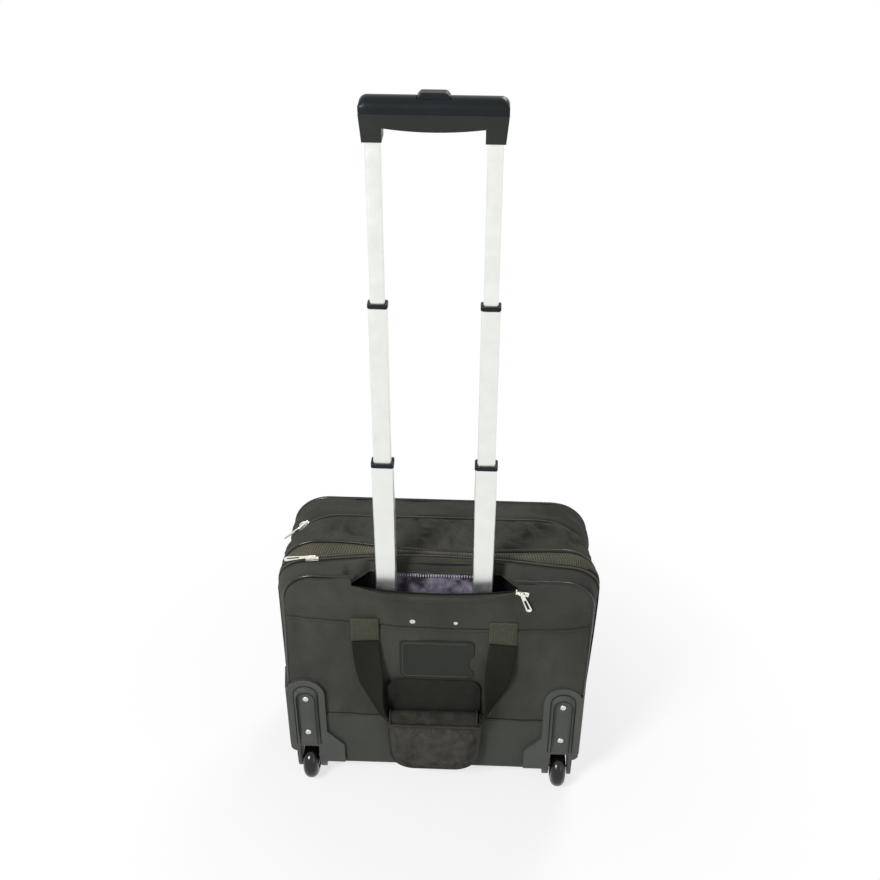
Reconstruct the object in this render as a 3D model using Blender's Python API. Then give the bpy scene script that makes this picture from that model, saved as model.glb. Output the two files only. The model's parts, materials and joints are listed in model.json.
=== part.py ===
"""Rolling laptop case with a three-stage pull handle. Metres, +Z up; -Y is the rear, the wheel side."""

import math
from collections import namedtuple

import bmesh
import bpy
from mathutils import Vector

# Overall sizes
CASE_DEPTH = 0.190
HALF_WIDTH = 0.205
PANEL_TOP = 0.3878
BODY_BOTTOM = 0.030
KICK_TOP = 0.1342
REAR_STANDOFF = 0.026
FRONT_STANDOFF = 0.014
GAP = 0.0003

# Shell of the case
SHELL = 0.003
TRAY_FLOOR = 0.004
TRAY_CORNER = 0.012
BOARD = 0.003
DIVIDER = 0.006
DIVIDER_STEP = 0.020
DIVIDER_BOTTOM = 0.045
REAR_ZIP_Y = 0.0375
MIDDLE_PIPING_Y = 0.062
BELLY_Y = 0.100
LID_DEPTH = 0.060
PIPING_R = 0.0025
REAR_CORNER = 0.040
REAR_ZIP_CORNER = 0.042
MIDDLE_CORNER = 0.045
BELLY_CORNER = 0.060
FRONT_ZIP_CORNER = 0.074
FRONT_CORNER = 0.050
REAR_ZIP_BULGE = 0.0060
MIDDLE_BULGE = 0.0030
BELLY_BULGE = 0.0035
FRONT_ZIP_BULGE = 0.0045
FRONT_BULGE = 0.0055
REAR_ZIP_RISE = 0.0017
MIDDLE_RISE = 0.0042
BELLY_RISE = 0.0047
FRONT_ZIP_RISE = 0.0017
FRONT_DROP = 0.0118

# Trolley slot in the top of the rear side
SLOT_HALF = 0.109
SLOT_STRIP = 0.0055
LIP_END_DROP = 0.0165
LIP_SAG = 0.012

# Handle tubes: width across, depth, wall
TUBE_SPACING = 0.0637
TUBE_Y = 0.0175
TUBE_WALL = 0.0012
OUTER_TUBE = (0.032, 0.0200)
LOWER_TUBE = (0.027, 0.0166)
MIDDLE_TUBE = (0.022, 0.0132)
UPPER_TUBE = (0.017, 0.0098)
TUBE_CORNER = 0.0022
TUBE_RUN = 0.0005
COLLAR_LIP = 0.0007
COLLAR_HEIGHT = 0.0052
OUTER_TOP = PANEL_TOP - 0.0598
LOWER_BOTTOM = 0.275
LOWER_TOP = 0.5630
MIDDLE_BOTTOM = 0.500
MIDDLE_TOP = 0.7805
UPPER_BOTTOM = 0.722
PLUG_HEIGHT = 0.010

# Trolley brackets
BRACKET_HALF = 0.088
BASE_BRACKET_HEIGHT = 0.014
SOCKET_DEPTH = 0.007
TOP_BRACKET_LOW = OUTER_TOP - 0.021
TOP_BRACKET_HEIGHT = 0.018
BRACKET_REAR = 0.0035

# Grip and release button
LEG_BOTTOM = 0.969
GRIP_SPLIT = 0.9985
GRIP_TOP = 1.0146
GRIP_DEPTH = 0.026
GRIP_HALF = 0.077
GRIP_LEG_HALF = 0.0105
GRIP_UNDERSIDE = 0.984
GRIP_BOW = 0.0036
GRIP_BOW_STEPS = 5
GRIP_CORNER = 0.008
CHANNEL_FLOOR = 0.987
CHANNEL_HALF = 0.068
CHANNEL_DEPTH = 0.016
TUBE_IN_GRIP = 0.020
BUTTON_HALF = 0.0172
BUTTON_DEPTH = 0.014
BUTTON_TOP = 1.0190
BUTTON_TAPER = 0.004
YOKE_LOW = 0.9935
YOKE_HEIGHT = 0.003
YOKE_DEPTH = 0.007
ROD = (0.004, 0.003)
ROD_BOTTOM = 0.735
SPRING_R = 0.0024
SPRING_WIRE = 0.0004
SPRING_TURNS = 4

# Wheels and their housings
WHEEL_R = 0.028
WHEEL_HALF = 0.0115
WHEEL_X = HALF_WIDTH - 0.024
WHEEL_Y = 0.007
WHEEL_SIDE = 0.002
HUB_R = 0.010
HUB_HALF = 0.0105
DISC_R = WHEEL_R - 0.006
DISC_HALF = 0.0085
TREAD_EDGE = 0.0035
AXLE_R = 0.003
CHEEK = 0.0095
OUTER_CHEEK = 0.0055
WELL_WALL = 0.003
WELL_DEPTH = 0.038
WELL_TOP = 0.066
CHEEK_BOTTOM = 0.021
CHEEK_CHAMFER = 0.011
CHEEK_TIP_HALF = 0.007
CHEEK_SLOPE = 0.008
WELD = 0.0005
HOUSING_PLATE = 0.0055
HOUSING_ARCH_R = 0.027
HOUSING_ARCH_Z = 0.175
HOUSING_WRAP_TOP = 0.185
HOUSING_WRAP_LOW = 0.058
HOUSING_WRAP_ROUND = 0.047
HOUSING_FOOT_X = HALF_WIDTH - 0.075
HOUSING_FOOT_LOW = 0.037
HOUSING_FOOT_TOP = 0.0736
HOUSING_NECK_LOW = 0.100
HOUSING_SKIN = 0.0042
FOOT_X = HALF_WIDTH - 0.045
FOOT_FROM_FRONT = 0.028
FOOT_TOP_HALF = 0.016
FOOT_TIP_HALF = 0.012

# Rivets
HEAD_R = 0.0046
HEAD_RISE = 0.0022
SHANK_R = 0.0018
SHANK_LENGTH = 0.0045
HOUSING_RIVET_Z = (0.166, 0.099)
PANEL_RIVET_X = 0.0288
PANEL_RIVET_Z = PANEL_TOP - 0.0723

# Carry handle, card holder and zips
ANCHOR_X = 0.093
ANCHOR_HALF = 0.0195
ANCHOR_LOW = PANEL_TOP - 0.1078
ANCHOR_TOP = ANCHOR_LOW + 0.041
ANCHOR_THICK = 0.0055
STRAP_THICK = 0.003
STRAP_DROP = 0.0024
STRAP_Y = ANCHOR_THICK + 2 * GAP + STRAP_THICK / 2
STRAP_END_HALF = 0.006
STRAP_END_Z = 0.139
STRAP_STRAIGHT = 0.008
STRAP_UPPER_BEND = (ANCHOR_X, 0.225)
STRAP_LOWER_BEND = (ANCHOR_X - 0.012, 0.158)
STRAP_STEPS = 13
WRAP_HALF = 0.0665
WRAP_LOW = 0.041
WRAP_TOP = 0.154
WRAP_INNER = 0.003
WRAP_LOW_CORNER = 0.028
WRAP_TOP_CORNER = 0.006
FRONT_STRAP_Z = 0.300
FRONT_STRAP_X = 0.070
FRONT_STRAP_HALF = 0.0165
FRONT_STRAP_REACH = 0.115
FRONT_STRAP_THICK = 0.0024
FRONT_STRAP_OFF = 0.0017
FRONT_GRIP_HALF = 0.034
FRONT_STRAP_BEND = 0.030
CARD_X = 0.004
CARD_HALF = 0.051
CARD_LOW = PANEL_TOP - 0.1753
CARD_TOP = CARD_LOW + 0.0692
CARD_THICK = 0.0027
CARD_CORNER = 0.008
CARD_NOTCH_DEPTH = 0.007
CARD_NOTCH_HALF = 0.015
CARD_NOTCH_Z = CARD_LOW + 0.0290
SLIDER_LENGTH = 0.012
SLIDER_WIDTH = 0.0062
SLIDER_HEIGHT = 0.004
SLIDER_TAPER = 0.3
TAB_LENGTH = 0.027
TAB_WIDTH = 0.006
TAB_THICK = 0.0014
SLOT_SLIDER_X = SLOT_HALF + 0.0062
SLOT_SLIDER_Z = PANEL_TOP - 0.0150
TAB_PIVOT = 0.0012
SLOT_BAIL = 0.0025
LUG_HALF = 0.0015
LUG_CLEAR = 0.0010
REAR_SLIDER_X = 0.042 - HALF_WIDTH
FRONT_SLIDER_ANGLE = 45.0

ARC_STEPS = 6
ROUND_STEPS = 24
RIVET_STEPS = 12

REAR_Y = REAR_STANDOFF - (REAR_STANDOFF + CASE_DEPTH + FRONT_STANDOFF) / 2
FRONT_Y = REAR_Y + CASE_DEPTH
SHELL_LOW = KICK_TOP + GAP
FLOOR_TOP = BODY_BOTTOM + TRAY_FLOOR
FRONT_ZIP_Y = CASE_DEPTH - LID_DEPTH
WHEEL_GAP_LOW = WHEEL_X - WHEEL_HALF - WHEEL_SIDE
WHEEL_GAP_HIGH = WHEEL_X + WHEEL_HALF + WHEEL_SIDE
WELL_LOW_X = WHEEL_GAP_LOW - CHEEK
CHEEK_FACE = WHEEL_GAP_HIGH + OUTER_CHEEK
WELL_END = WELL_DEPTH + WELL_WALL
WELL_ROOF = WELL_TOP + WELL_WALL
NOTCH_X = WELL_LOW_X - GAP
NOTCH_TOP = WELL_ROOF + GAP
SIDES = (("left", -1), ("right", 1))

# Outline of the case at each depth behind the rear plane
Station = namedtuple("Station", "depth half top radius")
REAR = Station(0.0, HALF_WIDTH, PANEL_TOP, REAR_CORNER)
REAR_ZIP = Station(REAR_ZIP_Y, HALF_WIDTH + REAR_ZIP_BULGE, PANEL_TOP + REAR_ZIP_RISE, REAR_ZIP_CORNER)
MIDDLE = Station(MIDDLE_PIPING_Y, HALF_WIDTH + MIDDLE_BULGE, PANEL_TOP + MIDDLE_RISE, MIDDLE_CORNER)
BELLY = Station(BELLY_Y, HALF_WIDTH + BELLY_BULGE, PANEL_TOP + BELLY_RISE, BELLY_CORNER)
FRONT_ZIP = Station(FRONT_ZIP_Y, HALF_WIDTH + FRONT_ZIP_BULGE, PANEL_TOP + FRONT_ZIP_RISE, FRONT_ZIP_CORNER)
FRONT = Station(CASE_DEPTH, HALF_WIDTH + FRONT_BULGE, PANEL_TOP - FRONT_DROP, FRONT_CORNER)
STATIONS = (REAR, REAR_ZIP, MIDDLE, BELLY, FRONT_ZIP, FRONT)

# Finish: sRGB colour, roughness, metallic
FINISHES = {
    "fabric": ((69, 70, 65), 0.9, 0.0),
    "vinyl": ((67, 70, 65), 0.55, 0.0),
    "lining": ((98, 95, 99), 0.7, 0.0),
    "board": ((44, 45, 46), 0.8, 0.0),
    "piping": ((44, 46, 44), 0.7, 0.0),
    "webbing": ((60, 61, 54), 0.85, 0.0),
    "wrap": ((67, 65, 61), 0.6, 0.0),
    "aluminium": ((232, 235, 228), 0.35, 0.6),
    "dark_plastic": ((27, 35, 36), 0.4, 0.0),
    "grey_plastic": ((64, 67, 61), 0.45, 0.0),
    "housing_plastic": ((85, 89, 86), 0.5, 0.0),
    "rubber": ((64, 66, 63), 0.25, 0.0),
    "steel": ((201, 203, 193), 0.25, 1.0),
    "zip_metal": ((235, 235, 224), 0.2, 1.0),
}


def clear_scene():
    for obj in list(bpy.data.objects):
        bpy.data.objects.remove(obj, do_unlink=True)


def linear(value):
    share = value / 255
    return share / 12.92 if share <= 0.04045 else ((share + 0.055) / 1.055) ** 2.4


def finish_material(finish):
    found = bpy.data.materials.get(finish)
    if found:
        return found
    colour, roughness, metallic = FINISHES[finish]
    made = bpy.data.materials.new(finish)
    made.use_nodes = True
    shader = made.node_tree.nodes["Principled BSDF"]
    shader.inputs["Base Color"].default_value = [linear(value) for value in colour] + [1.0]
    shader.inputs["Roughness"].default_value = roughness
    shader.inputs["Metallic"].default_value = metallic
    return made


def add_object(name, bm, finish, origin=(0, 0, 0), smooth=False):
    """Links the mesh as a named object whose origin is at the given point."""
    bmesh.ops.recalc_face_normals(bm, faces=bm.faces)
    bmesh.ops.translate(bm, vec=-Vector(origin), verts=bm.verts)
    mesh = bpy.data.meshes.new(name)
    bm.to_mesh(mesh)
    bm.free()
    mesh.materials.append(finish_material(finish))
    if smooth:
        mesh.shade_smooth()
        mesh.set_sharp_from_angle(angle=math.radians(35))
    obj = bpy.data.objects.new(name, mesh)
    obj.location = origin
    bpy.context.scene.collection.objects.link(obj)
    return obj


def combine(obj, bm, name, operation):
    """Keeps a Boolean on the object, with its tool hidden from the render."""
    tool = add_object(name, bm, "board")
    tool.hide_render = True
    tool.display_type = "WIRE"
    modifier = obj.modifiers.new(name, "BOOLEAN")
    modifier.operation = operation
    modifier.solver = "EXACT"
    modifier.object = tool


def cut(obj, bm, name):
    combine(obj, bm, name, "DIFFERENCE")


def join(obj, bm, name):
    combine(obj, bm, name, "UNION")


def loft(rings):
    """Rings of equal count joined into one closed body, with a flat cap at each end."""
    bm = bmesh.new()
    loops = [[bm.verts.new(point) for point in ring] for ring in rings]
    bm.faces.new(loops[0])
    bm.faces.new(loops[-1])
    count = len(loops[0])
    for near, far in zip(loops, loops[1:]):
        for i in range(count):
            j = (i + 1) % count
            bm.faces.new((near[i], near[j], far[j], far[i]))
    return bm


def on_axis(axis, a, b, along):
    """A point from its two coordinates across an axis and the one along it."""
    return {"X": (along, a, b), "Y": (a, along, b), "Z": (a, b, along)}[axis]


def prism(outline, axis, low, high):
    return loft([[on_axis(axis, a, b, along) for a, b in outline] for along in (low, high)])


def box(x, y, z):
    return prism([(x[0], y[0]), (x[1], y[0]), (x[1], y[1]), (x[0], y[1])], "Z", z[0], z[1])


def arc(centre, radius, start, end, steps=ARC_STEPS):
    """Points on an arc, from start to end in degrees."""
    turns = [math.radians(start + (end - start) * i / steps) for i in range(steps + 1)]
    return [(centre[0] + radius * math.cos(t), centre[1] + radius * math.sin(t)) for t in turns]


def circle(radius, steps=ROUND_STEPS, centre=(0, 0)):
    return arc(centre, radius, -90, 270 - 360 / steps, steps - 1)


def rounded(half_a, half_b, radius, centre=(0, 0), steps=3):
    """A rounded rectangle about a centre."""
    points = []
    for quarter, (sa, sb) in enumerate(((1, 1), (-1, 1), (-1, -1), (1, -1))):
        corner = (centre[0] + sa * (half_a - radius), centre[1] + sb * (half_b - radius))
        points += arc(corner, radius, 90 * quarter, 90 * quarter + 90, steps)
    return points


def turned(profile, axis, centre, steps):
    """A solid of circles (radius, place along the axis), about a centre across the axis."""
    rings = []
    for radius, along in profile:
        rings.append([on_axis(axis, a, b, along) for a, b in circle(radius, steps, centre)])
    return loft(rings)


def revolve(section, axis, centre, steps):
    """A ring: a closed section (radius, place along the axis) turned about the axis."""
    bm = bmesh.new()
    loops = []
    for k in range(steps):
        turn = math.radians(-90 + 360 * k / steps)
        ring = []
        for radius, along in section:
            a = centre[0] + radius * math.cos(turn)
            b = centre[1] + radius * math.sin(turn)
            ring.append(bm.verts.new(on_axis(axis, a, b, along)))
        loops.append(ring)
    count = len(section)
    for k in range(steps):
        near, far = loops[k], loops[(k + 1) % steps]
        for i in range(count):
            j = (i + 1) % count
            bm.faces.new((near[i], near[j], far[j], far[i]))
    return bm


def sleeve(outer, inner, low, high):
    """A hollow upright tube between two outlines of equal count."""
    bm = bmesh.new()
    loops = []
    for outline, z in ((outer, low), (outer, high), (inner, high), (inner, low)):
        loops.append([bm.verts.new((x, y, z)) for x, y in outline])
    count = len(outer)
    for k in range(4):
        near, far = loops[k], loops[(k + 1) % 4]
        for i in range(count):
            j = (i + 1) % count
            bm.faces.new((near[i], near[j], far[j], far[i]))
    return bm


def bevelled_curve(name, points, radius, finish, origin=(0, 0, 0), resolution=1):
    """A round bead along a path."""
    data = bpy.data.curves.new(name, "CURVE")
    data.dimensions = "3D"
    data.bevel_depth = radius
    data.bevel_resolution = resolution
    data.use_fill_caps = True
    spline = data.splines.new("POLY")
    spline.points.add(len(points) - 1)
    for place, point in zip(spline.points, points):
        place.co = (*(Vector(point) - Vector(origin)), 1.0)
    data.materials.append(finish_material(finish))
    obj = bpy.data.objects.new(name, data)
    obj.location = origin
    bpy.context.scene.collection.objects.link(obj)
    return obj


def station_at(depth):
    """The outline between two stations."""
    for near, far in zip(STATIONS, STATIONS[1:]):
        if depth <= far.depth:
            break
    share = (depth - near.depth) / (far.depth - near.depth)
    return Station(*[a + (b - a) * share for a, b in zip(near, far)])


def inset(station, margin):
    return Station(station.depth, station.half - margin, station.top - margin, station.radius - margin)


def arch(station, low):
    """Outline over the top of the case, from its right foot to its left foot."""
    corner = (station.half - station.radius, station.top - station.radius)
    right = [(station.half, low)] + arc(corner, station.radius, 0, 90)
    return right + [(-x, z) for x, z in reversed(right)]


def band(depths, low):
    """A gusset: the shell of the case between depths behind the rear plane."""
    rings = []
    for depth in depths:
        station = station_at(depth)
        outline = arch(station, low) + arch(inset(station, SHELL), low)[::-1]
        rings.append([(x, REAR_Y + depth, z) for x, z in outline])
    return loft(rings)


def side_pairs(maker):
    """Runs a maker for the left and the right side."""
    for name, side in SIDES:
        maker(name, side)


def lip_height(x):
    """Sagging edge of the rear panel below the trolley slot."""
    return PANEL_TOP - LIP_END_DROP - LIP_SAG * math.cos(math.pi * x / (2 * SLOT_HALF))


def notched_foot(low, half):
    """Right lower edge of a panel that leaves room for the wheel well, from the middle outwards."""
    return [(NOTCH_X, low), (NOTCH_X, NOTCH_TOP), (half, NOTCH_TOP)]


def mirrored(right):
    """A closed outline from its right half, taken bottom to top."""
    return right + [(-x, z) for x, z in reversed(right)]


def rivet_hole(x, z, face, deep):
    radius = SHANK_R + GAP
    return turned(((radius, face - SHELL), (radius, face + deep)), "Y", (x, z), RIVET_STEPS)


def rear_panel():
    corner = (REAR.half - REAR.radius, REAR.top - REAR.radius)
    right = [(REAR.half, SHELL_LOW)] + arc(corner, REAR.radius, 0, 90) + [(SLOT_HALF, REAR.top)]
    lip = [(SLOT_HALF * k / 4, lip_height(SLOT_HALF * k / 4)) for k in (4, 3, 2, 1)]
    outline = mirrored(right + lip + [(0, lip_height(0))])
    outline.remove((0, lip_height(0)))
    panel = add_object("rear_panel", prism(outline, "Y", REAR_Y, REAR_Y + SHELL), "fabric")
    for name, side in SIDES:
        hole = rivet_hole(side * PANEL_RIVET_X, PANEL_RIVET_Z, REAR_Y, 2 * SHELL)
        cut(panel, hole, f"panel_rivet_hole_{name}")


def rear_kick_panel():
    right = notched_foot(BODY_BOTTOM, HALF_WIDTH) + [(HALF_WIDTH, KICK_TOP)]
    add_object("rear_kick_panel", prism(mirrored(right), "Y", REAR_Y, REAR_Y + SHELL), "vinyl")


def tray_outline(margin):
    rear = SHELL + GAP + margin
    right = [(station_at(rear).half - margin, REAR_Y + rear)]
    for station in (REAR_ZIP, MIDDLE, BELLY, FRONT_ZIP):
        right.append((station.half - margin, REAR_Y + station.depth))
    corner = (FRONT.half - TRAY_CORNER, FRONT_Y - TRAY_CORNER)
    right += arc(corner, TRAY_CORNER - margin, 0, 90)
    return mirrored(right)


def base_tray():
    tray = add_object("base_tray", prism(tray_outline(0), "Z", BODY_BOTTOM, KICK_TOP), "vinyl")
    cut(tray, prism(tray_outline(SHELL), "Z", FLOOR_TOP, KICK_TOP + SHELL), "tray_hollow")
    for name, side in SIDES:
        x = sorted((side * NOTCH_X, side * 2 * HALF_WIDTH))
        y = (REAR_Y - SHELL, REAR_Y + WELL_END + GAP)
        cut(tray, box(x, y, (0, NOTCH_TOP)), f"wheel_well_{name}")


def rear_gusset():
    depths = (SHELL + GAP, REAR_ZIP_Y - GAP)
    gusset = add_object("rear_gusset", band(depths, SHELL_LOW), "fabric", smooth=True)
    y = (REAR_Y, REAR_Y + REAR_ZIP_Y - SLOT_STRIP)
    cut(gusset, box((-SLOT_HALF, SLOT_HALF), y, (PANEL_TOP - REAR_CORNER, GRIP_TOP)), "trolley_slot")


def trolley_pocket_board():
    front = REAR_ZIP_Y - 2 * GAP
    station = inset(station_at(front - BOARD), SHELL + GAP)
    right = notched_foot(FLOOR_TOP + GAP, station.half)
    corner = (station.half - station.radius, station.top - station.radius)
    right += arc(corner, station.radius, 0, 90)
    board = prism(mirrored(right), "Y", REAR_Y + front - BOARD, REAR_Y + front)
    add_object("trolley_pocket_board", board, "lining")


LEAN_AXIS = (0, FRONT_Y, SHELL_LOW)


def main_gusset():
    depths = (REAR_ZIP_Y + GAP, MIDDLE.depth, BELLY.depth, FRONT_ZIP_Y - GAP)
    add_object("main_gusset", band(depths, SHELL_LOW), "fabric", LEAN_AXIS, smooth=True)


def divider_panel():
    station = inset(station_at(MIDDLE.depth + GAP + DIVIDER), SHELL + GAP)
    narrow = station.half - DIVIDER_STEP
    right = [(narrow, DIVIDER_BOTTOM), (narrow, SHELL_LOW + SHELL), (station.half, SHELL_LOW + SHELL)]
    corner = (station.half - station.radius, station.top - station.radius)
    right += arc(corner, station.radius, 0, 90)
    low = REAR_Y + MIDDLE.depth + GAP
    add_object("divider_panel", prism(mirrored(right), "Y", low, low + DIVIDER), "lining", LEAN_AXIS)


def front_lid():
    rings = []
    for station in (FRONT_ZIP, FRONT):
        rings.append([(x, REAR_Y + station.depth, z) for x, z in arch(station, SHELL_LOW)])
    lid = add_object("front_lid", loft(rings), "fabric", LEAN_AXIS, smooth=True)
    hollow = []
    for station, shift in ((FRONT_ZIP, -SHELL), (FRONT, -SHELL)):
        outline = arch(inset(station, SHELL), SHELL_LOW - SHELL)
        hollow.append([(x, REAR_Y + station.depth + shift, z) for x, z in outline])
    cut(lid, loft(hollow), "lid_hollow")


def piping(name, station, depth, low, origin):
    """A bead round the outside of one outline."""
    path = arch(inset(station, -(PIPING_R + GAP)), low)
    bevelled_curve(name, [(x, REAR_Y + depth, z) for x, z in path], PIPING_R, "piping", origin)


def pipings():
    housing_top = HOUSING_ARCH_Z + HOUSING_ARCH_R
    piping("rear_piping", REAR, SHELL / 2, housing_top + 2 * GAP, (0, 0, 0))
    piping("middle_piping", MIDDLE, MIDDLE.depth, SHELL_LOW + 2 * GAP, LEAN_AXIS)
    edge = station_at(CASE_DEPTH - 2 * PIPING_R)
    piping("front_piping", edge, CASE_DEPTH - PIPING_R, SHELL_LOW + PIPING_R, LEAN_AXIS)


def tube_centre(side):
    return (side * TUBE_SPACING, REAR_Y + TUBE_Y)


def tube_outline(size, side, grow=0.0):
    radius = max(TUBE_CORNER + grow, TUBE_CORNER / 3)
    return rounded(size[0] / 2 + grow, size[1] / 2 + grow, radius, tube_centre(side))


def stage_tube(name, size, side, low, high):
    body = sleeve(tube_outline(size, side), tube_outline(size, side, -TUBE_WALL), low, high)
    add_object(name, body, "aluminium", (*tube_centre(side), high), smooth=True)


def collar(name, size, inner, side, top):
    hole = tube_outline(inner, side, TUBE_RUN)
    body = sleeve(tube_outline(size, side, COLLAR_LIP), hole, top - COLLAR_HEIGHT, top)
    add_object(name, body, "dark_plastic", (*tube_centre(side), top))


def trolley_side(name, side):
    socket_floor = FLOOR_TOP + GAP + BASE_BRACKET_HEIGHT - SOCKET_DEPTH
    stage_tube(f"outer_tube_{name}", OUTER_TUBE, side, socket_floor + GAP, OUTER_TOP)
    stage_tube(f"lower_tube_{name}", LOWER_TUBE, side, LOWER_BOTTOM, LOWER_TOP - COLLAR_HEIGHT - GAP)
    collar(f"lower_collar_{name}", LOWER_TUBE, MIDDLE_TUBE, side, LOWER_TOP)
    stage_tube(f"middle_tube_{name}", MIDDLE_TUBE, side, MIDDLE_BOTTOM, MIDDLE_TOP - COLLAR_HEIGHT - GAP)
    collar(f"middle_collar_{name}", MIDDLE_TUBE, UPPER_TUBE, side, MIDDLE_TOP)
    stage_tube(f"upper_tube_{name}", UPPER_TUBE, side, UPPER_BOTTOM, LEG_BOTTOM + TUBE_IN_GRIP)
    plug_top = UPPER_BOTTOM - GAP
    plug = prism(tube_outline(UPPER_TUBE, side), "Z", plug_top - PLUG_HEIGHT, plug_top)
    add_object(f"guide_plug_{name}", plug, "dark_plastic", (*tube_centre(side), plug_top))


def trolley_brackets():
    low = FLOOR_TOP + GAP
    high = low + BASE_BRACKET_HEIGHT
    y = (REAR_Y + 2 * (SHELL + GAP), REAR_Y + TUBE_Y + OUTER_TUBE[1] / 2 + SHELL)
    x = (-BRACKET_HALF, BRACKET_HALF)
    base = add_object("trolley_base_bracket", box(x, y, (low, high)), "dark_plastic")
    y = (REAR_Y + BRACKET_REAR, REAR_Y + REAR_ZIP_Y - 2 * GAP - BOARD - GAP)
    z = (TOP_BRACKET_LOW, TOP_BRACKET_LOW + TOP_BRACKET_HEIGHT)
    top = add_object("trolley_top_bracket", box(x, y, z), "dark_plastic")
    for name, side in SIDES:
        hole = tube_outline(OUTER_TUBE, side, GAP)
        cut(base, prism(hole, "Z", high - SOCKET_DEPTH, high + SHELL), f"tube_socket_{name}")
        cut(top, prism(hole, "Z", z[0] - SHELL, z[1] + SHELL), f"tube_guide_{name}")
        shank = rivet_hole(side * PANEL_RIVET_X, PANEL_RIVET_Z, REAR_Y, 2 * SHANK_LENGTH)
        cut(top, shank, f"bracket_rivet_hole_{name}")


def grip_y(half):
    return (REAR_Y + TUBE_Y - half, REAR_Y + TUBE_Y + half)


def grip_body():
    outer = TUBE_SPACING + GRIP_LEG_HALF
    inner = TUBE_SPACING - GRIP_LEG_HALF
    shares = [k / GRIP_BOW_STEPS for k in range(GRIP_BOW_STEPS + 1)]
    right = [(inner * s, GRIP_UNDERSIDE - GRIP_BOW * (1 - s * s)) for s in shares]
    right += [(inner, LEG_BOTTOM), (outer, LEG_BOTTOM), (GRIP_HALF, GRIP_SPLIT)]
    outline = mirrored(right)[:-1]
    body = add_object("grip_body", prism(outline, "Y", *grip_y(GRIP_DEPTH / 2)), "grey_plastic")
    channel = box((-CHANNEL_HALF, CHANNEL_HALF), grip_y(CHANNEL_DEPTH / 2), (CHANNEL_FLOOR, GRIP_TOP))
    cut(body, channel, "yoke_channel")
    for name, side in SIDES:
        hole = prism(tube_outline(UPPER_TUBE, side, GAP), "Z", LEG_BOTTOM - SHELL, LEG_BOTTOM + TUBE_IN_GRIP)
        cut(body, hole, f"leg_socket_{name}")


def grip_cover():
    corner = (GRIP_HALF - GRIP_CORNER, GRIP_TOP - GRIP_CORNER)
    right = [(GRIP_HALF, GRIP_SPLIT + GAP)] + arc(corner, GRIP_CORNER, 0, 90, 4)
    cover = add_object("grip_cover", prism(mirrored(right), "Y", *grip_y(GRIP_DEPTH / 2)), "dark_plastic")
    x = (-BUTTON_HALF - GAP, BUTTON_HALF + GAP)
    cut(cover, box(x, grip_y(BUTTON_DEPTH / 2 + GAP), (YOKE_LOW, BUTTON_TOP)), "button_slot")


def release_parts():
    low = YOKE_LOW + YOKE_HEIGHT + GAP
    right = [(BUTTON_HALF, low), (BUTTON_HALF, GRIP_TOP), (BUTTON_HALF - BUTTON_TAPER, BUTTON_TOP)]
    button = prism(mirrored(right), "Y", *grip_y(BUTTON_DEPTH / 2))
    origin = (0, REAR_Y + TUBE_Y, BUTTON_TOP)
    add_object("release_button", button, "grey_plastic", origin)
    end = TUBE_SPACING + ROD[0] / 2
    bar = box((-end, end), grip_y(YOKE_DEPTH / 2), (YOKE_LOW, YOKE_LOW + YOKE_HEIGHT))
    yoke = add_object("release_yoke", bar, "steel", origin)
    for name, side in SIDES:
        x = sorted((side * (TUBE_SPACING - ROD[0] / 2), side * end))
        rod = box(x, grip_y(ROD[1] / 2), (ROD_BOTTOM, YOKE_LOW + YOKE_HEIGHT / 2))
        join(yoke, rod, f"push_rod_{name}")
    spring_low = CHANNEL_FLOOR + GAP + SPRING_WIRE
    spring_high = YOKE_LOW - GAP - SPRING_WIRE
    steps = SPRING_TURNS * 10
    points = []
    for i in range(steps + 1):
        turn = 2 * math.pi * SPRING_TURNS * i / steps
        z = spring_low + (spring_high - spring_low) * i / steps
        points.append((SPRING_R * math.cos(turn), REAR_Y + TUBE_Y + SPRING_R * math.sin(turn), z))
    bevelled_curve("button_spring", points, SPRING_WIRE, "steel", resolution=0)


def housing_plate_outline():
    """Rear face of the right wheel housing: an arch with a splayed foot towards the middle."""
    edge = WHEEL_X - HOUSING_ARCH_R
    outline = [(HOUSING_FOOT_X, HOUSING_FOOT_LOW), (WHEEL_GAP_LOW, HOUSING_FOOT_LOW)]
    outline += [(WHEEL_GAP_LOW, WELL_ROOF), (WHEEL_GAP_HIGH, WELL_ROOF), (WHEEL_GAP_HIGH, HOUSING_FOOT_LOW)]
    outline += [(WHEEL_X + HOUSING_ARCH_R, HOUSING_WRAP_LOW)]
    outline += arc((WHEEL_X, HOUSING_ARCH_Z), HOUSING_ARCH_R, 0, 180, 10)
    outline += [(edge, HOUSING_NECK_LOW), (HOUSING_FOOT_X, HOUSING_FOOT_TOP)]
    return outline


def fork_profile():
    """Side view of a fork cheek: depth behind the rear plane and height."""
    rear = -HOUSING_PLATE + WELL_WALL / 3
    return [
        (rear, WELL_ROOF),
        (rear, CHEEK_BOTTOM + CHEEK_CHAMFER),
        (WHEEL_Y - CHEEK_TIP_HALF, CHEEK_BOTTOM),
        (WHEEL_Y + CHEEK_TIP_HALF, CHEEK_BOTTOM),
        (WHEEL_Y + CHEEK_TIP_HALF + CHEEK_SLOPE, BODY_BOTTOM),
        (WELL_END, BODY_BOTTOM),
        (WELL_END, WELL_ROOF),
    ]


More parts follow.
